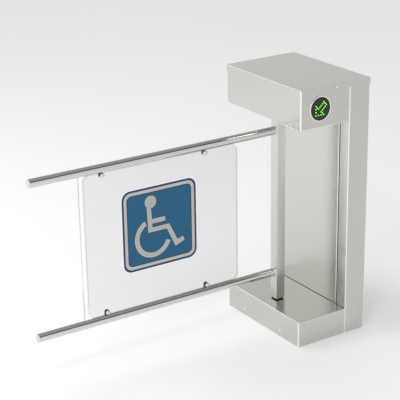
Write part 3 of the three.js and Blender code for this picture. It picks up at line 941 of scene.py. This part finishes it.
ARROW = [
    (0, 0), (0, 2), (0, 4), (0, 6), (2, 0), (4, 0), (6, 0),
    (1, 5), (2, 4), (5, 1), (4, 2),
    (3, 5), (4, 6), (5, 7), (6, 8), (5, 3), (6, 4), (7, 5), (8, 6), (7, 7),
]
ARROW_MIDDLE = (3.45, 3.85)
BEZEL_WIDTH = 4.2 * MM
BEZEL_CROWN = 1.1 * MM
BEZEL_INNER_EDGE = 0.7 * MM
LENS_EDGE = 1.0 * MM
LENS_BEHIND = 0.2 * MM  # how far the lens face stays behind its CAD face, under the lamps
LENS_MARGIN = 5.5 * MM  # ring at the lens's edge without lamps
LAMP_SINK = 0.1 * MM


class GATE_OT_indicators(bpy.types.Operator):
    """Round indicators: bezel ring, smoked lens and lamps that form an arrow"""

    bl_idname = "gate.indicators"
    bl_label = "Indicators"

    def execute(self, context):
        sizes = context.scene.gate_indicator
        for end, side, way in (("front", FRONT, "-y"), ("rear", REAR, "+y")):
            low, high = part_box(f"indicator_bezel_{end}")
            middle = (low + high) / 2
            outer = (high.x - low.x) / 2
            depth = high.y - low.y
            seat = Vector((middle.x, high.y if side == FRONT else low.y, middle.z))
            place = Matrix.Translation(seat) @ facing(way)
            inner = outer - BEZEL_WIDTH
            crown, edge = BEZEL_CROWN, BEZEL_INNER_EDGE
            ring = [
                (inner, 0), (outer, 0),
                *arc((outer - crown, depth - crown), crown, 0, 90, 6),
                *arc((inner + edge, depth - edge), edge, 90, 180, 4),
            ]
            # The bezel ring's bright steel is its finish, partly lightened into a painted highlight.
            put(f"indicator_bezel_ring_{end}", turned(ring, place, 96, ring=True), "cabinet",
                [bright_steel_and_highlight()], [f"indicator_bezel_{end}"])
            self.lens(end, side, way, sizes)
        return {"FINISHED"}

    def lens(self, end, side, way, sizes):
        low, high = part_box(f"indicator_lens_{end}")
        middle = (low + high) / 2
        radius = (high.x - low.x) / 2
        depth = high.y - low.y
        back = Vector((middle.x, high.y if side == FRONT else low.y, middle.z))
        place = Matrix.Translation(back) @ facing(way)
        soft = LENS_EDGE
        face = depth - LENS_BEHIND
        edge = arc((radius - soft, face - soft), soft, 0, 90, 5)
        profile = [(0, 0), (radius, 0), *edge, (0, face)]
        put(f"indicator_lens_disc_{end}", turned(profile, place, 96), "cabinet",
            [indicator_lens()], [f"indicator_lens_{end}"])
        lit, dark = [], []
        half = sizes.pitch / 2
        arrow = {
            (round((i - ARROW_MIDDLE[0]) * 2), round((j - ARROW_MIDDLE[1]) * 2)) for i, j in ARROW
        }
        reach = radius - LENS_MARGIN
        last = 2 * sizes.places + 2
        for a in range(-last, last + 1):
            for b in range(-last, last + 1):
                x, z = a * half, b * half
                is_lit = (a, b) in arrow
                on_grid = (a - 1) % 2 == 0 and b % 2 == 0
                if not is_lit and (not on_grid or math.hypot(x, z) > reach):
                    continue
                spot = Vector((middle.x - side * x, back.y + side * face, middle.z + z))
                bm = turned(
                    [(0, -LAMP_SINK), (sizes.lamp, -LAMP_SINK),
                     (sizes.lamp, 0.12 * MM), (sizes.lamp * 0.82, sizes.lamp_height * 0.75),
                     (sizes.lamp * 0.45, sizes.lamp_height), (0, sizes.lamp_height)],
                    Matrix.Translation(spot) @ facing(way), 14,
                )
                (lit if is_lit else dark).append(bm)
        put(f"indicator_lamps_lit_{end}", gathered(lit), "cabinet", [lamp_lit()])
        put(f"indicator_lamps_dark_{end}", gathered(dark), "cabinet", [lamp_dark()])


# ---------------------------------------------------------------- wing


POST_END_EDGE = 0.4 * MM  # rounding of the post's cut ends
PLUG_BORE = 12.8 * MM  # radius of the spindle's hole in the post plug
PLUG_CORNER, PLUG_EDGE = 1.5 * MM, 0.8 * MM
TUBE_END_EDGE = 0.3 * MM
WELD_OVERLAP, WELD_LIFT = 0.2 * MM, 0.25 * MM  # into the tube, and off the post's face
TUBE_PLAY = 0.4 * MM  # room round the cap's insert in the tube
CAP_GAP = 0.2 * MM
CAP_RISE = 0.5 * MM  # how far the middle of the cap stands out
PANEL_HOLE_ZONE = 8 * MM  # round the fixings, where the panel's edges stay sharp
RIM_ANGLE = 1.2  # the panel's faces meet its rim at more than this, in radians


class GATE_OT_post(bpy.types.Operator):
    """Square swing post and its black bottom plug"""

    bl_idname = "gate.post"
    bl_label = "Post"

    def execute(self, context):
        sizes = context.scene.gate_wing
        low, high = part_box("wing_post")
        bm = block(low, high)
        drop_faces(bm, z=low.z)
        drop_faces(bm, z=high.z)
        round_edges(bm, edges_along(bm, "z"), sizes.post_corner, 6)
        face_outwards(bm, (low + high) / 2)
        post = put("wing_post_tube", bm, "wing", [brushed_steel("upright")],
                   ["wing_post"])
        thicken(post, sizes.post_wall)
        soften(post, POST_END_EDGE)
        settle(post)

        low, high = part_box("post_bottom_plug")
        bm = block(low, high)
        round_edges(bm, edges_along(bm, "z"), PLUG_CORNER, 4)
        round_edges(bm, edges_at(bm, z=low.z), PLUG_EDGE, 3)
        for level in (low.z, high.z):
            cut_holes(bm, "z", level, [((0, 0, level), PLUG_BORE)])
        bmesh.ops.bridge_loops(bm, edges=open_edges(bm))
        bmesh.ops.recalc_face_normals(bm, faces=bm.faces)
        plug = put("post_plug", bm, "wing", [black_plastic()], ["post_bottom_plug"])
        settle(plug)
        return {"FINISHED"}


class GATE_OT_tubes(bpy.types.Operator):
    """Round wing tubes, welded to the post, with rounded end caps"""

    bl_idname = "gate.tubes"
    bl_label = "Tubes"

    def execute(self, context):
        sizes = context.scene.gate_wing
        for level in ("upper", "lower"):
            low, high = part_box(f"{level}_tube")
            middle = (low + high) / 2
            radius = (high.z - low.z) / 2
            bm = bmesh.new()
            bmesh.ops.create_cone(
                bm, cap_ends=False, segments=96, radius1=radius, radius2=radius,
                depth=high.x - low.x, matrix=Matrix.Translation(middle) @ facing("+x"),
            )
            bmesh.ops.recalc_face_normals(bm, faces=bm.faces)
            face_outwards(bm, middle)
            tube = put(f"{level}_tube_wall", bm, "wing", [polished_steel("x")],
                       [f"{level}_tube"])
            thicken(tube, sizes.tube_wall)
            soften(tube, TUBE_END_EDGE)
            settle(tube)

            cap_low, cap_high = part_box(f"{level}_tube_cap")
            r = sizes.cap_edge
            tip = cap_low.x
            insert = radius - sizes.tube_wall - TUBE_PLAY
            inner_end = low.x - cap_high.x
            disc = low.x - tip - CAP_GAP
            profile = [
                (0, inner_end), (insert - 1 * MM, inner_end), (insert, inner_end + 1 * MM),
                (insert, 0), (radius, 0),
                *arc((radius - r, disc - CAP_RISE - r), r, 0, 80, 6),
                (radius * 0.6, disc - CAP_RISE * 0.35), (radius * 0.3, disc - CAP_RISE * 0.08),
                (0, disc),
            ]
            place = Matrix.Translation((low.x, middle.y, middle.z)) @ facing("-x")
            put(f"{level}_tube_end", turned(profile, place, 64), "wing",
                [polished_steel("z")], [f"{level}_tube_cap"])

            w = sizes.weld
            root = radius - WELD_OVERLAP
            bead = [
                (root, WELD_LIFT), (radius + w, WELD_LIFT), (radius + w * 0.45, w * 0.45), (root, w),
            ]
            post_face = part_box("wing_post")[0].x
            place = Matrix.Translation((post_face, middle.y, middle.z)) @ facing("-x")
            put(f"{level}_tube_weld", turned(bead, place, 64, ring=True), "wing",
                [polished_steel("z")])
        return {"FINISHED"}


class GATE_OT_clear_panel(bpy.types.Operator):
    """Clear panel with rounded corners, polished edges and four fixing holes"""

    bl_idname = "gate.clear_panel"
    bl_label = "Clear panel"

    def execute(self, context):
        sizes = context.scene.gate_wing
        low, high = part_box("clear_panel")
        middle, half = (low + high) / 2, (high - low) / 2
        bm = bmesh.new()
        rounded_face(
            bm, half.x, half.z, sizes.panel_corner, (middle.x, low.y, middle.z), 12
        )
        holes = [((x, low.y, z), sizes.fixing_hole) for x, z in fixing_places()]
        cut_holes(bm, "y", low.y, holes, 20)
        made = bmesh.ops.extrude_face_region(bm, geom=list(bm.faces), use_keep_orig=True)["geom"]
        bmesh.ops.translate(
            bm, verts=verts_in(made),
            vec=(0, high.y - low.y, 0),
        )
        bmesh.ops.recalc_face_normals(bm, faces=bm.faces)
        rim = [
            e for e in bm.edges
            if len(e.link_faces) == 2 and e.calc_face_angle() > RIM_ANGLE
            and (lies_at(e, y=low.y) or lies_at(e, y=high.y))
            and all(math.hypot(e.verts[0].co.x - x, e.verts[0].co.z - z) > PANEL_HOLE_ZONE
                    for x, z in fixing_places())
        ]
        round_edges(bm, rim, sizes.panel_edge, 2)
        # Faces not along Y form the rim and get its darker finish, a painted shade along the sheet's
        # edges.
        for f in bm.faces:
            f.material_index = 0 if abs(f.normal.y) > FLAT_COSINE else 1
        panel = put("clear_panel_sheet", bm, "wing", [panel_face(), panel_rim_shade()],
                    ["clear_panel"], sharp=30)
        settle(panel)
        return {"FINISHED"}


def fixing_places():
    """Middles of the four panel fixings as (x, z)."""
    places = []
    for number in range(1, 5):
        low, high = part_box(f"panel_button_{number}")
        places.append(((low.x + high.x) / 2, (low.z + high.z) / 2))
    return places


SYMBOL_BODY = [
    (-53, 78), (-36, 78), (-34, 30.5), (22, 30.5), (22, 14), (-33, 14), (-32.5, -1.5),
    (38, -1.5), (72.5, -71), (95.5, -62.5), (102, -78.5), (64, -94.5), (28.5, -18), (-49, -18),
]
SYMBOL_HEAD = ((-37, 97), 23.5)
SYMBOL_WHEEL = ((-29.5, -40), 58, 76, 117, 340)
SYMBOL_RIM = 3.6 * MM
CORNER_SHRINK = 0.72  # how much of each line's width its inner corner radius loses
SIGN_BACK, SIGN_FIELD, SIGN_DARK, SIGN_PALE, SIGN_WHITE = range(5)


class GATE_OT_sign(bpy.types.Operator):
    """Access sign: plate with frame lines, and the symbol as a thin film on it"""

    bl_idname = "gate.sign"
    bl_label = "Sign"

    def execute(self, context):
        sizes = context.scene.gate_sign
        low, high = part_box("sign_plate")
        middle = (low + high) / 2
        self.plate(sizes, low, high, middle)
        self.symbol(sizes, low, middle)
        return {"FINISHED"}

    def plate(self, sizes, low, high, middle):
        front = (middle.x, low.y, middle.z)
        inset, corner = 0.0, sizes.corner
        half = (high.x - low.x) / 2
        bm = bmesh.new()
        loops = []
        for width in (0.0, sizes.rim, sizes.edge_line, sizes.band, sizes.inner_line):
            inset += width
            corner = max(corner - CORNER_SHRINK * width, 4 * MM)
            loops.append(rounded_face(bm, half - inset, half - inset, corner, front, 8))
        outer_edges = list(loops[0].edges)
        loops[-1].material_index = SIGN_FIELD
        slots = (SIGN_WHITE, SIGN_DARK, SIGN_PALE, SIGN_DARK)
        for slot, outer, inner in zip(slots, loops, loops[1:]):
            edges = list(outer.edges) + list(inner.edges)
            bmesh.ops.delete(bm, geom=[outer], context="FACES_ONLY")
            made = bmesh.ops.triangle_fill(bm, use_beauty=True, edges=edges, normal=(0, -1, 0))
            for f in made["geom"]:
                if isinstance(f, bmesh.types.BMFace):
                    f.material_index = slot
        back = fold(bm, outer_edges, (0, high.y - low.y, 0))
        for f in bmesh.ops.edgeloop_fill(bm, edges=back)["faces"]:
            f.material_index = SIGN_BACK
        bmesh.ops.recalc_face_normals(bm, faces=bm.faces)
        put("sign_plate_print", bm, "wing", [
            moulded_plastic("sign_back", (0.62, 0.62, 0.61), (0.68, 0.68, 0.67)),
            printed("sign_field", tuple(sizes.field)),
            printed("sign_dark", tuple(sizes.dark)),
            printed("sign_pale", tuple(sizes.pale)),
            printed("sign_white", tuple(sizes.white)),
        ], ["sign_plate"])

    def symbol(self, sizes, low, middle):
        def at(x, z):
            return (middle.x + x * MM, low.y, middle.z + z * MM)

        parts = []
        body = bmesh.new()
        body.faces.new([body.verts.new(at(x, z)) for x, z in SYMBOL_BODY])
        parts.append(body)

        head = bmesh.new()
        (x, z), radius = SYMBOL_HEAD
        bmesh.ops.create_circle(
            head, cap_ends=True, cap_tris=False, segments=48, radius=radius * MM,
            matrix=Matrix.Translation(at(x, z)) @ facing("-y"),
        )
        parts.append(head)

        wheel = bmesh.new()
        (x, z), inner, outer, start, end = SYMBOL_WHEEL
        first = math.radians(start)
        tips = [
            wheel.verts.new(at(x + r * math.cos(first), z + r * math.sin(first)))
            for r in (inner, outer)
        ]
        edge = wheel.edges.new(tips)
        bmesh.ops.spin(
            wheel, geom=[*tips, edge], cent=at(x, z), axis=(0, -1, 0), dvec=(0, 0, 0),
            angle=math.radians(end - start), steps=56, use_duplicate=False,
        )
        parts.append(wheel)

        for bm in parts:
            bmesh.ops.recalc_face_normals(bm, faces=bm.faces)
            if bm.faces[:][0].normal.y > 0:
                bmesh.ops.reverse_faces(bm, faces=bm.faces)
            for f in bm.faces:
                f.material_index = 1
            border = bmesh.ops.inset_region(
                bm, faces=list(bm.faces), thickness=SYMBOL_RIM, use_boundary=True,
                use_even_offset=True,
            )["faces"]
            for f in border:
                f.material_index = 0
            made = bmesh.ops.extrude_face_region(
                bm, geom=list(bm.faces), use_keep_orig=True
            )["geom"]
            bmesh.ops.translate(
                bm, verts=verts_in(made),
                vec=(0, -sizes.film, 0),
            )
            bmesh.ops.recalc_face_normals(bm, faces=bm.faces)
        put("sign_symbol_film", gathered(parts), "wing", [
            printed("symbol_rim", tuple(sizes.pale)), printed("symbol_core", tuple(sizes.core)),
        ])


BUTTON_HEIGHT = 5 * MM
BUTTON_COLLAR = 1.3 * MM
BUTTON_SHANK = 2 * MM
WASHER_THICKNESS = 0.28 * MM
WASHER_BORE, WASHER_RIM, WASHER_EDGE = 2.2 * MM, 7.6 * MM, 7.8 * MM
TAB_HOLE = 2.4 * MM
TAB_OVERLAP = 3.2 * MM  # how deep a tab runs along the tube's side
TAB_TIP, TAB_CORNER = 0.9, 0.85  # tab's end beyond the screw, corner radius, over half its width
TAB_EDGE = 0.35 * MM
NUT_RADIUS, NUT_BORE, NUT_EDGE = 4.0 * MM, 2.05 * MM, 0.35 * MM
NUT_PLAY = 0.2 * MM  # how much of the screw's end stands out of the nut


class GATE_OT_panel_fixings(bpy.types.Operator):
    """Panel fixings: dome buttons, soft washers, welded tabs and thin nuts"""

    bl_idname = "gate.panel_fixings"
    bl_label = "Panel fixings"

    def execute(self, context):
        tube_radius = (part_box("upper_tube")[1].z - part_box("upper_tube")[0].z) / 2
        panel_low, panel_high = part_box("clear_panel")
        for number, (x, z) in enumerate(fixing_places(), 1):
            low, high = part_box(f"panel_button_{number}")
            self.button(number, x, z, low, high)
            tab_low, tab_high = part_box(f"panel_tab_{number}")
            level = "upper" if z > (panel_low.z + panel_high.z) / 2 else "lower"
            tube_low, tube_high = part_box(f"{level}_tube")
            self.tab(number, x, z, tab_low, tab_high, (tube_low.z + tube_high.z) / 2, tube_radius)
            self.washers(number, x, z, panel_low, panel_high)
            self.nut(number, x, z, tab_high, high)
        return {"FINISHED"}

    def button(self, number, x, z, low, high):
        radius = (high.x - low.x) / 2
        height, collar, shank_r = BUTTON_HEIGHT, BUTTON_COLLAR, BUTTON_SHANK
        seat = low.y + height
        shank = high.y - seat
        crown = [
            (radius * math.sin(a), collar + (height - collar) * math.cos(a))
            for a in (math.radians(90 - 90 * i / 12) for i in range(13))
        ]
        profile = [
            (0, -shank), (shank_r * 0.8, -shank), (shank_r, -shank + 0.4 * MM), (shank_r, 0),
            (radius - 0.3 * MM, 0), (radius, 0.3 * MM), *crown[:-1], (0, height),
        ]
        place = Matrix.Translation((x, seat, z)) @ facing("-y")
        put(f"panel_button_dome_{number}", turned(profile, place, 48), "wing",
            [polished_steel("z")], [f"panel_button_{number}"])

    def tab(self, number, x, z, low, high, tube_z, tube_radius):
        """A plate from the tube's side down behind the panel, rounded round the screw."""
        up = 1 if tube_z > z else -1
        wide = (high.x - low.x) / 2
        far = z - up * wide * TAB_TIP
        near_tube = tube_z - up * (tube_radius - TAB_OVERLAP)
        z0, z1 = sorted((far, near_tube))
        bm = block((x - wide, low.y, z0), (x + wide, high.y, z1))
        corners = [e for e in edges_along(bm, "y") if lies_at(e, z=far)]
        round_edges(bm, corners, wide * TAB_CORNER, 8)
        for y in (low.y, high.y):
            cut_holes(bm, "y", y, [((x, y, z), TAB_HOLE)], 20)
        bmesh.ops.bridge_loops(bm, edges=open_edges(bm))
        bmesh.ops.recalc_face_normals(bm, faces=bm.faces)
        tab = put(f"panel_tab_plate_{number}", bm, "wing", [polished_steel("z")],
                  [f"panel_tab_{number}"])
        soften(tab, TAB_EDGE)
        settle(tab)

    def washers(self, number, x, z, panel_low, panel_high):
        thick = WASHER_THICKNESS
        profile = [
            (WASHER_BORE, 0), (WASHER_RIM, 0), (WASHER_EDGE, thick / 2),
            (WASHER_RIM, thick), (WASHER_BORE, thick),
        ]
        parts = []
        for seat, way in ((panel_low.y, "-y"), (panel_high.y, "+y")):
            place = Matrix.Translation((x, seat, z)) @ facing(way)
            parts.append(turned(profile, place, 36, ring=True))
        put(f"panel_washers_{number}", gathered(parts), "wing",
            [black_rubber()])

    def nut(self, number, x, z, tab_high, button_high):
        seat = tab_high.y
        thick = button_high.y - seat - NUT_PLAY
        bm = bmesh.new()
        bmesh.ops.create_cone(
            bm, cap_ends=True, cap_tris=False, segments=6, radius1=NUT_RADIUS, radius2=NUT_RADIUS,
            depth=thick, matrix=Matrix.Translation((x, seat + thick / 2, z)) @ facing("+y"),
        )
        round_edges(bm, edges_at(bm, y=seat + thick) + edges_at(bm, y=seat), NUT_EDGE, 2)
        for y in (seat, seat + thick):
            cut_holes(bm, "y", y, [((x, y, z), NUT_BORE)], 20)
        bmesh.ops.bridge_loops(bm, edges=open_edges(bm))
        bmesh.ops.recalc_face_normals(bm, faces=bm.faces)
        put(f"panel_nut_{number}", bm, "wing",
            [machined_steel()], sharp=30)


ROD_SINK = 0.9 * MM  # how far the rod's ends reach into the tubes
ROD_WELD = 1.1 * MM


class GATE_OT_tie_rod(bpy.types.Operator):
    """Slim upright rod beside the panel's free edge, welded to both tubes"""

    bl_idname = "gate.tie_rod"
    bl_label = "Tie rod"

    def execute(self, context):
        low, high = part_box("tie_rod")
        middle = (low + high) / 2
        radius = (high.x - low.x) / 2
        bottom, top = low.z - ROD_SINK, high.z + ROD_SINK
        w = ROD_WELD
        profile = [
            (0, bottom), (radius + w, bottom), (radius + w * 0.45, low.z + w * 0.2),
            (radius, low.z + w), (radius, high.z - w), (radius + w * 0.45, high.z - w * 0.2),
            (radius + w, top), (0, top),
        ]
        place = Matrix.Translation((middle.x, middle.y, 0))
        put("tie_rod_round", turned(profile, place, 24), "wing", [polished_steel("z")],
            ["tie_rod"], sharp=60)
        return {"FINISHED"}


# ---------------------------------------------------------------- inner works


def inner_finishes():
    """Finish of every CAD node that stays as it is."""
    dark = painted_metal("dark_paint", (0.030, 0.031, 0.033), (0.040, 0.041, 0.043))
    grey = painted_metal("grey_paint", (0.150, 0.155, 0.160), (0.180, 0.185, 0.190))
    zinc = painted_metal("zinc_plate", (0.36, 0.37, 0.38), (0.42, 0.43, 0.44))
    terminal = moulded_plastic("terminal_plastic", (0.045, 0.22, 0.07), (0.055, 0.26, 0.085))
    return {
        "base_plate": zinc, "frame_upright_front": zinc, "frame_upright_rear": zinc,
        "drive_plate": zinc, "electronics_tray": zinc, "power_supply": zinc,
        "lower_bearing_pedestal": grey, "upper_bearing_housing": grey, "gearbox": grey,
        "drive_motor": dark,
        "lower_bearing": machined_steel(), "upper_bearing": machined_steel(),
        "lower_spindle": machined_steel(), "upper_spindle": machined_steel(),
        "stop_arm": machined_steel(), "driven_gear": machined_steel(),
        "pinion_shaft": machined_steel(), "drive_pinion": machined_steel(),
        "stop_buffer_front": black_rubber(), "stop_buffer_rear": black_rubber(),
        "cable_grommet": black_rubber(),
        "indicator_board_front": circuit_board(), "indicator_board_rear": circuit_board(),
        "controller_board": circuit_board(), "terminal_block": terminal,
    }


class GATE_OT_inner_works(bpy.types.Operator):
    """Finishes for the frame, drive and electronics inside the cabinet"""

    bl_idname = "gate.inner_works"
    bl_label = "Inner works"

    def execute(self, context):
        finishes = inner_finishes()
        for name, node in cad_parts.items():
            if node.hide_render:
                continue
            if name not in finishes:
                raise RuntimeError(f"no finish for {name}")
            node.data.materials.clear()
            node.data.materials.append(finishes[name])
        return {"FINISHED"}


# ---------------------------------------------------------------- stage

CAMERA_PLACE = (-2.8087, -3.8435, 2.2820)
CAMERA_YAW, CAMERA_PITCH, CAMERA_ROLL = -32.593, 20.43, -0.991
SENSOR_WIDTH = 36
NEAREST, FARTHEST = 0.05, 200
FLOOR_DROP = 0.5 * MM  # keeps the floor clear of the gate's lowest faces

# Brightness of the sky from the horizon (0) to the zenith (1), before and behind the gate
SKY_BANDS = {
    "front": (
        (0.0, 0.45), (0.09, 1.10), (0.36, 1.00), (0.45, 0.12), (0.62, 0.10), (0.84, 0.42),
    ),
    "back": (
        (0.0, 0.60), (0.08, 0.94), (0.42, 0.91), (0.56, 0.55), (0.70, 0.45), (0.84, 0.42),
    ),
}
SKY_TURN = (("From Min", -0.25), ("From Max", 0.25))
SKY_STRENGTH = (("From Min", -0.6), ("From Max", 0.6), ("To Min", 1.45), ("To Max", 0.80))

# Softboxes: name, place, aim, size, watts, seen in reflections
SOFTBOXES = (
    ("key_softbox", (-3.4, -2.9, 4.4), (0, 0, 0.5), (0.9, 0.7), 30, True),
    ("left_softbox", (-2.4, 1.8, 3.2), (-1.2, 0.9, 0), (2.6, 2.0), 48, False),
)
SUN_ANGLE = math.radians(60)
SUN_TURN = (math.radians(20), math.radians(-18), 0)
SPOT_PLACE, SPOT_AIM = (-2.1, -2.7, 4), (-1.5, -2.1, 0)
SPOT_POWER, SPOT_ANGLE, SPOT_RADIUS = 860, math.radians(40), 0.4


class GATE_OT_stage(bpy.types.Operator):
    """Pale floor, soft studio light and the camera"""

    bl_idname = "gate.stage"
    bl_label = "Stage"

    def execute(self, context):
        stage = context.scene.gate_stage
        self.camera(context.scene, stage)
        self.floor(stage)
        self.world(context.scene)
        self.lamps(context.scene, stage)
        context.scene.view_settings.view_transform = "Standard"
        context.scene.view_settings.look = "None"
        return {"FINISHED"}

    def camera(self, scene, stage):
        yaw, pitch, roll = map(math.radians, (CAMERA_YAW, CAMERA_PITCH, CAMERA_ROLL))
        back = Vector((
            math.sin(yaw) * math.cos(pitch), -math.cos(yaw) * math.cos(pitch), math.sin(pitch),
        ))
        right = (-back).cross(Vector((0, 0, 1))).normalized()
        up = back.cross(right)
        across = right * math.cos(roll) + up * math.sin(roll)
        above = up * math.cos(roll) - right * math.sin(roll)
        data = bpy.data.cameras.new("camera")
        data.lens = stage.lens
        data.sensor_width = SENSOR_WIDTH
        data.clip_start, data.clip_end = NEAREST, FARTHEST
        camera = bpy.data.objects.new("camera", data)
        scene.collection.objects.link(camera)
        turn = Matrix((across, above, back)).transposed().to_4x4()
        camera.matrix_world = Matrix.Translation(CAMERA_PLACE) @ turn
        scene.camera = camera

    def floor(self, stage):
        bm = bmesh.new()
        bmesh.ops.create_grid(bm, x_segments=4, y_segments=4, size=stage.floor)
        mesh = bpy.data.meshes.new("floor")
        bm.to_mesh(mesh)
        bm.free()
        made = Finish("floor_pale")
        made.set(
            Emission_Color=(1, 1, 1, 1), Emission_Strength=stage.floor_glow, Specular_IOR_Level=0.0
        )
        made.mottle(0.8, 3, (0.89,) * 3, (0.91,) * 3)
        made.to(made.spread(made.noise(6, 2), 0.85, 0.95), "Roughness")
        mesh.materials.append(made.material)
        floor = bpy.data.objects.new("floor", mesh)
        bpy.context.scene.collection.objects.link(floor)
        floor.location.z = -FLOOR_DROP

    def world(self, scene):
        world = bpy.data.worlds.new("studio")
        world.use_nodes = True
        nodes, links = world.node_tree.nodes, world.node_tree.links
        space = nodes.new("ShaderNodeTexCoord")
        split = nodes.new("ShaderNodeSeparateXYZ")
        links.new(space.outputs["Generated"], split.inputs["Vector"])
        ramps = {}
        for name, stops in SKY_BANDS.items():
            ramp = nodes.new("ShaderNodeValToRGB")
            links.new(split.outputs["Z"], ramp.inputs["Fac"])
            elements = ramp.color_ramp.elements
            for stop in stops[1:-1]:
                elements.new(stop[0])
            for element, (position, value) in zip(elements, stops):
                element.position = position
                element.color = (value, value, value, 1)
            ramps[name] = ramp.outputs["Color"]
        side = nodes.new("ShaderNodeMapRange")
        links.new(split.outputs["Y"], side.inputs["Value"])
        for socket, value in SKY_TURN:
            side.inputs[socket].default_value = value
        both = nodes.new("ShaderNodeMix")
        both.data_type = "RGBA"
        for socket, source in {0: side.outputs["Result"], 6: ramps["front"], 7: ramps["back"]}.items():
            links.new(source, both.inputs[socket])
        links.new(both.outputs[2], nodes["Background"].inputs["Color"])
        across = nodes.new("ShaderNodeMapRange")
        links.new(split.outputs["X"], across.inputs["Value"])
        for socket, value in SKY_STRENGTH:
            across.inputs[socket].default_value = value
        links.new(across.outputs["Result"], nodes["Background"].inputs["Strength"])
        scene.world = world

    def lamps(self, scene, stage):
        sun = bpy.data.lights.new("even_light", "SUN")
        sun.energy = stage.sun
        sun.angle = SUN_ANGLE
        lamp = bpy.data.objects.new("even_light", sun)
        lamp.rotation_euler = SUN_TURN
        lamp.visible_glossy = False
        scene.collection.objects.link(lamp)
        for name, place, aim, size, power, mirrored in SOFTBOXES:
            data = bpy.data.lights.new(name, "AREA")
            data.shape = "RECTANGLE"
            data.size, data.size_y = size
            data.energy = power
            self.hang(scene, name, data, place, aim).visible_glossy = mirrored
        spot = bpy.data.lights.new("floor_spot", "SPOT")
        spot.energy = SPOT_POWER
        spot.spot_size = SPOT_ANGLE
        spot.spot_blend = 1.0
        spot.shadow_soft_size = SPOT_RADIUS
        self.hang(scene, "floor_spot", spot, SPOT_PLACE, SPOT_AIM).visible_glossy = False

    def hang(self, scene, name, data, place, aim):
        """Puts a lamp in its place and turns it to a point."""
        lamp = bpy.data.objects.new(name, data)
        lamp.location = place
        lamp.rotation_euler = (Vector(aim) - Vector(place)).to_track_quat("-Z", "Y").to_euler()
        scene.collection.objects.link(lamp)
        return lamp


# ---------------------------------------------------------------- add-on

OPERATORS = (
    GATE_OT_stage, GATE_OT_lid, GATE_OT_head_housing, GATE_OT_base_cover, GATE_OT_column,
    GATE_OT_cabinet_screws, GATE_OT_indicators, GATE_OT_post, GATE_OT_tubes,
    GATE_OT_clear_panel, GATE_OT_sign, GATE_OT_panel_fixings, GATE_OT_tie_rod,
    GATE_OT_inner_works,
)


class GATE_PT_pieces(bpy.types.Panel):
    """Lists the gate's pieces in the sidebar."""

    bl_idname = "GATE_PT_pieces"
    bl_label = "Swing Gate"
    bl_space_type = "VIEW_3D"
    bl_region_type = "UI"
    bl_category = "Swing Gate"

    def draw(self, context):
        for operator in OPERATORS:
            self.layout.operator(operator.bl_idname)


SETTINGS = {
    "gate_cabinet": GATE_PG_cabinet,
    "gate_wing": GATE_PG_wing,
    "gate_sign": GATE_PG_sign,
    "gate_indicator": GATE_PG_indicator,
    "gate_finish": GATE_PG_finish,
    "gate_stage": GATE_PG_stage,
}


def register():
    for name, group in SETTINGS.items():
        bpy.utils.register_class(group)
        setattr(bpy.types.Scene, name, PointerProperty(type=group))
    for operator in OPERATORS:
        bpy.utils.register_class(operator)
    bpy.utils.register_class(GATE_PT_pieces)


def unregister():
    bpy.utils.unregister_class(GATE_PT_pieces)
    for operator in reversed(OPERATORS):
        bpy.utils.unregister_class(operator)
    for name, group in SETTINGS.items():
        delattr(bpy.types.Scene, name)
        bpy.utils.unregister_class(group)


def main():
    register()
    for operator in OPERATORS:
        group, name = operator.bl_idname.split(".")
        getattr(getattr(bpy.ops, group), name)()


if __name__ == "__main__":
    main()
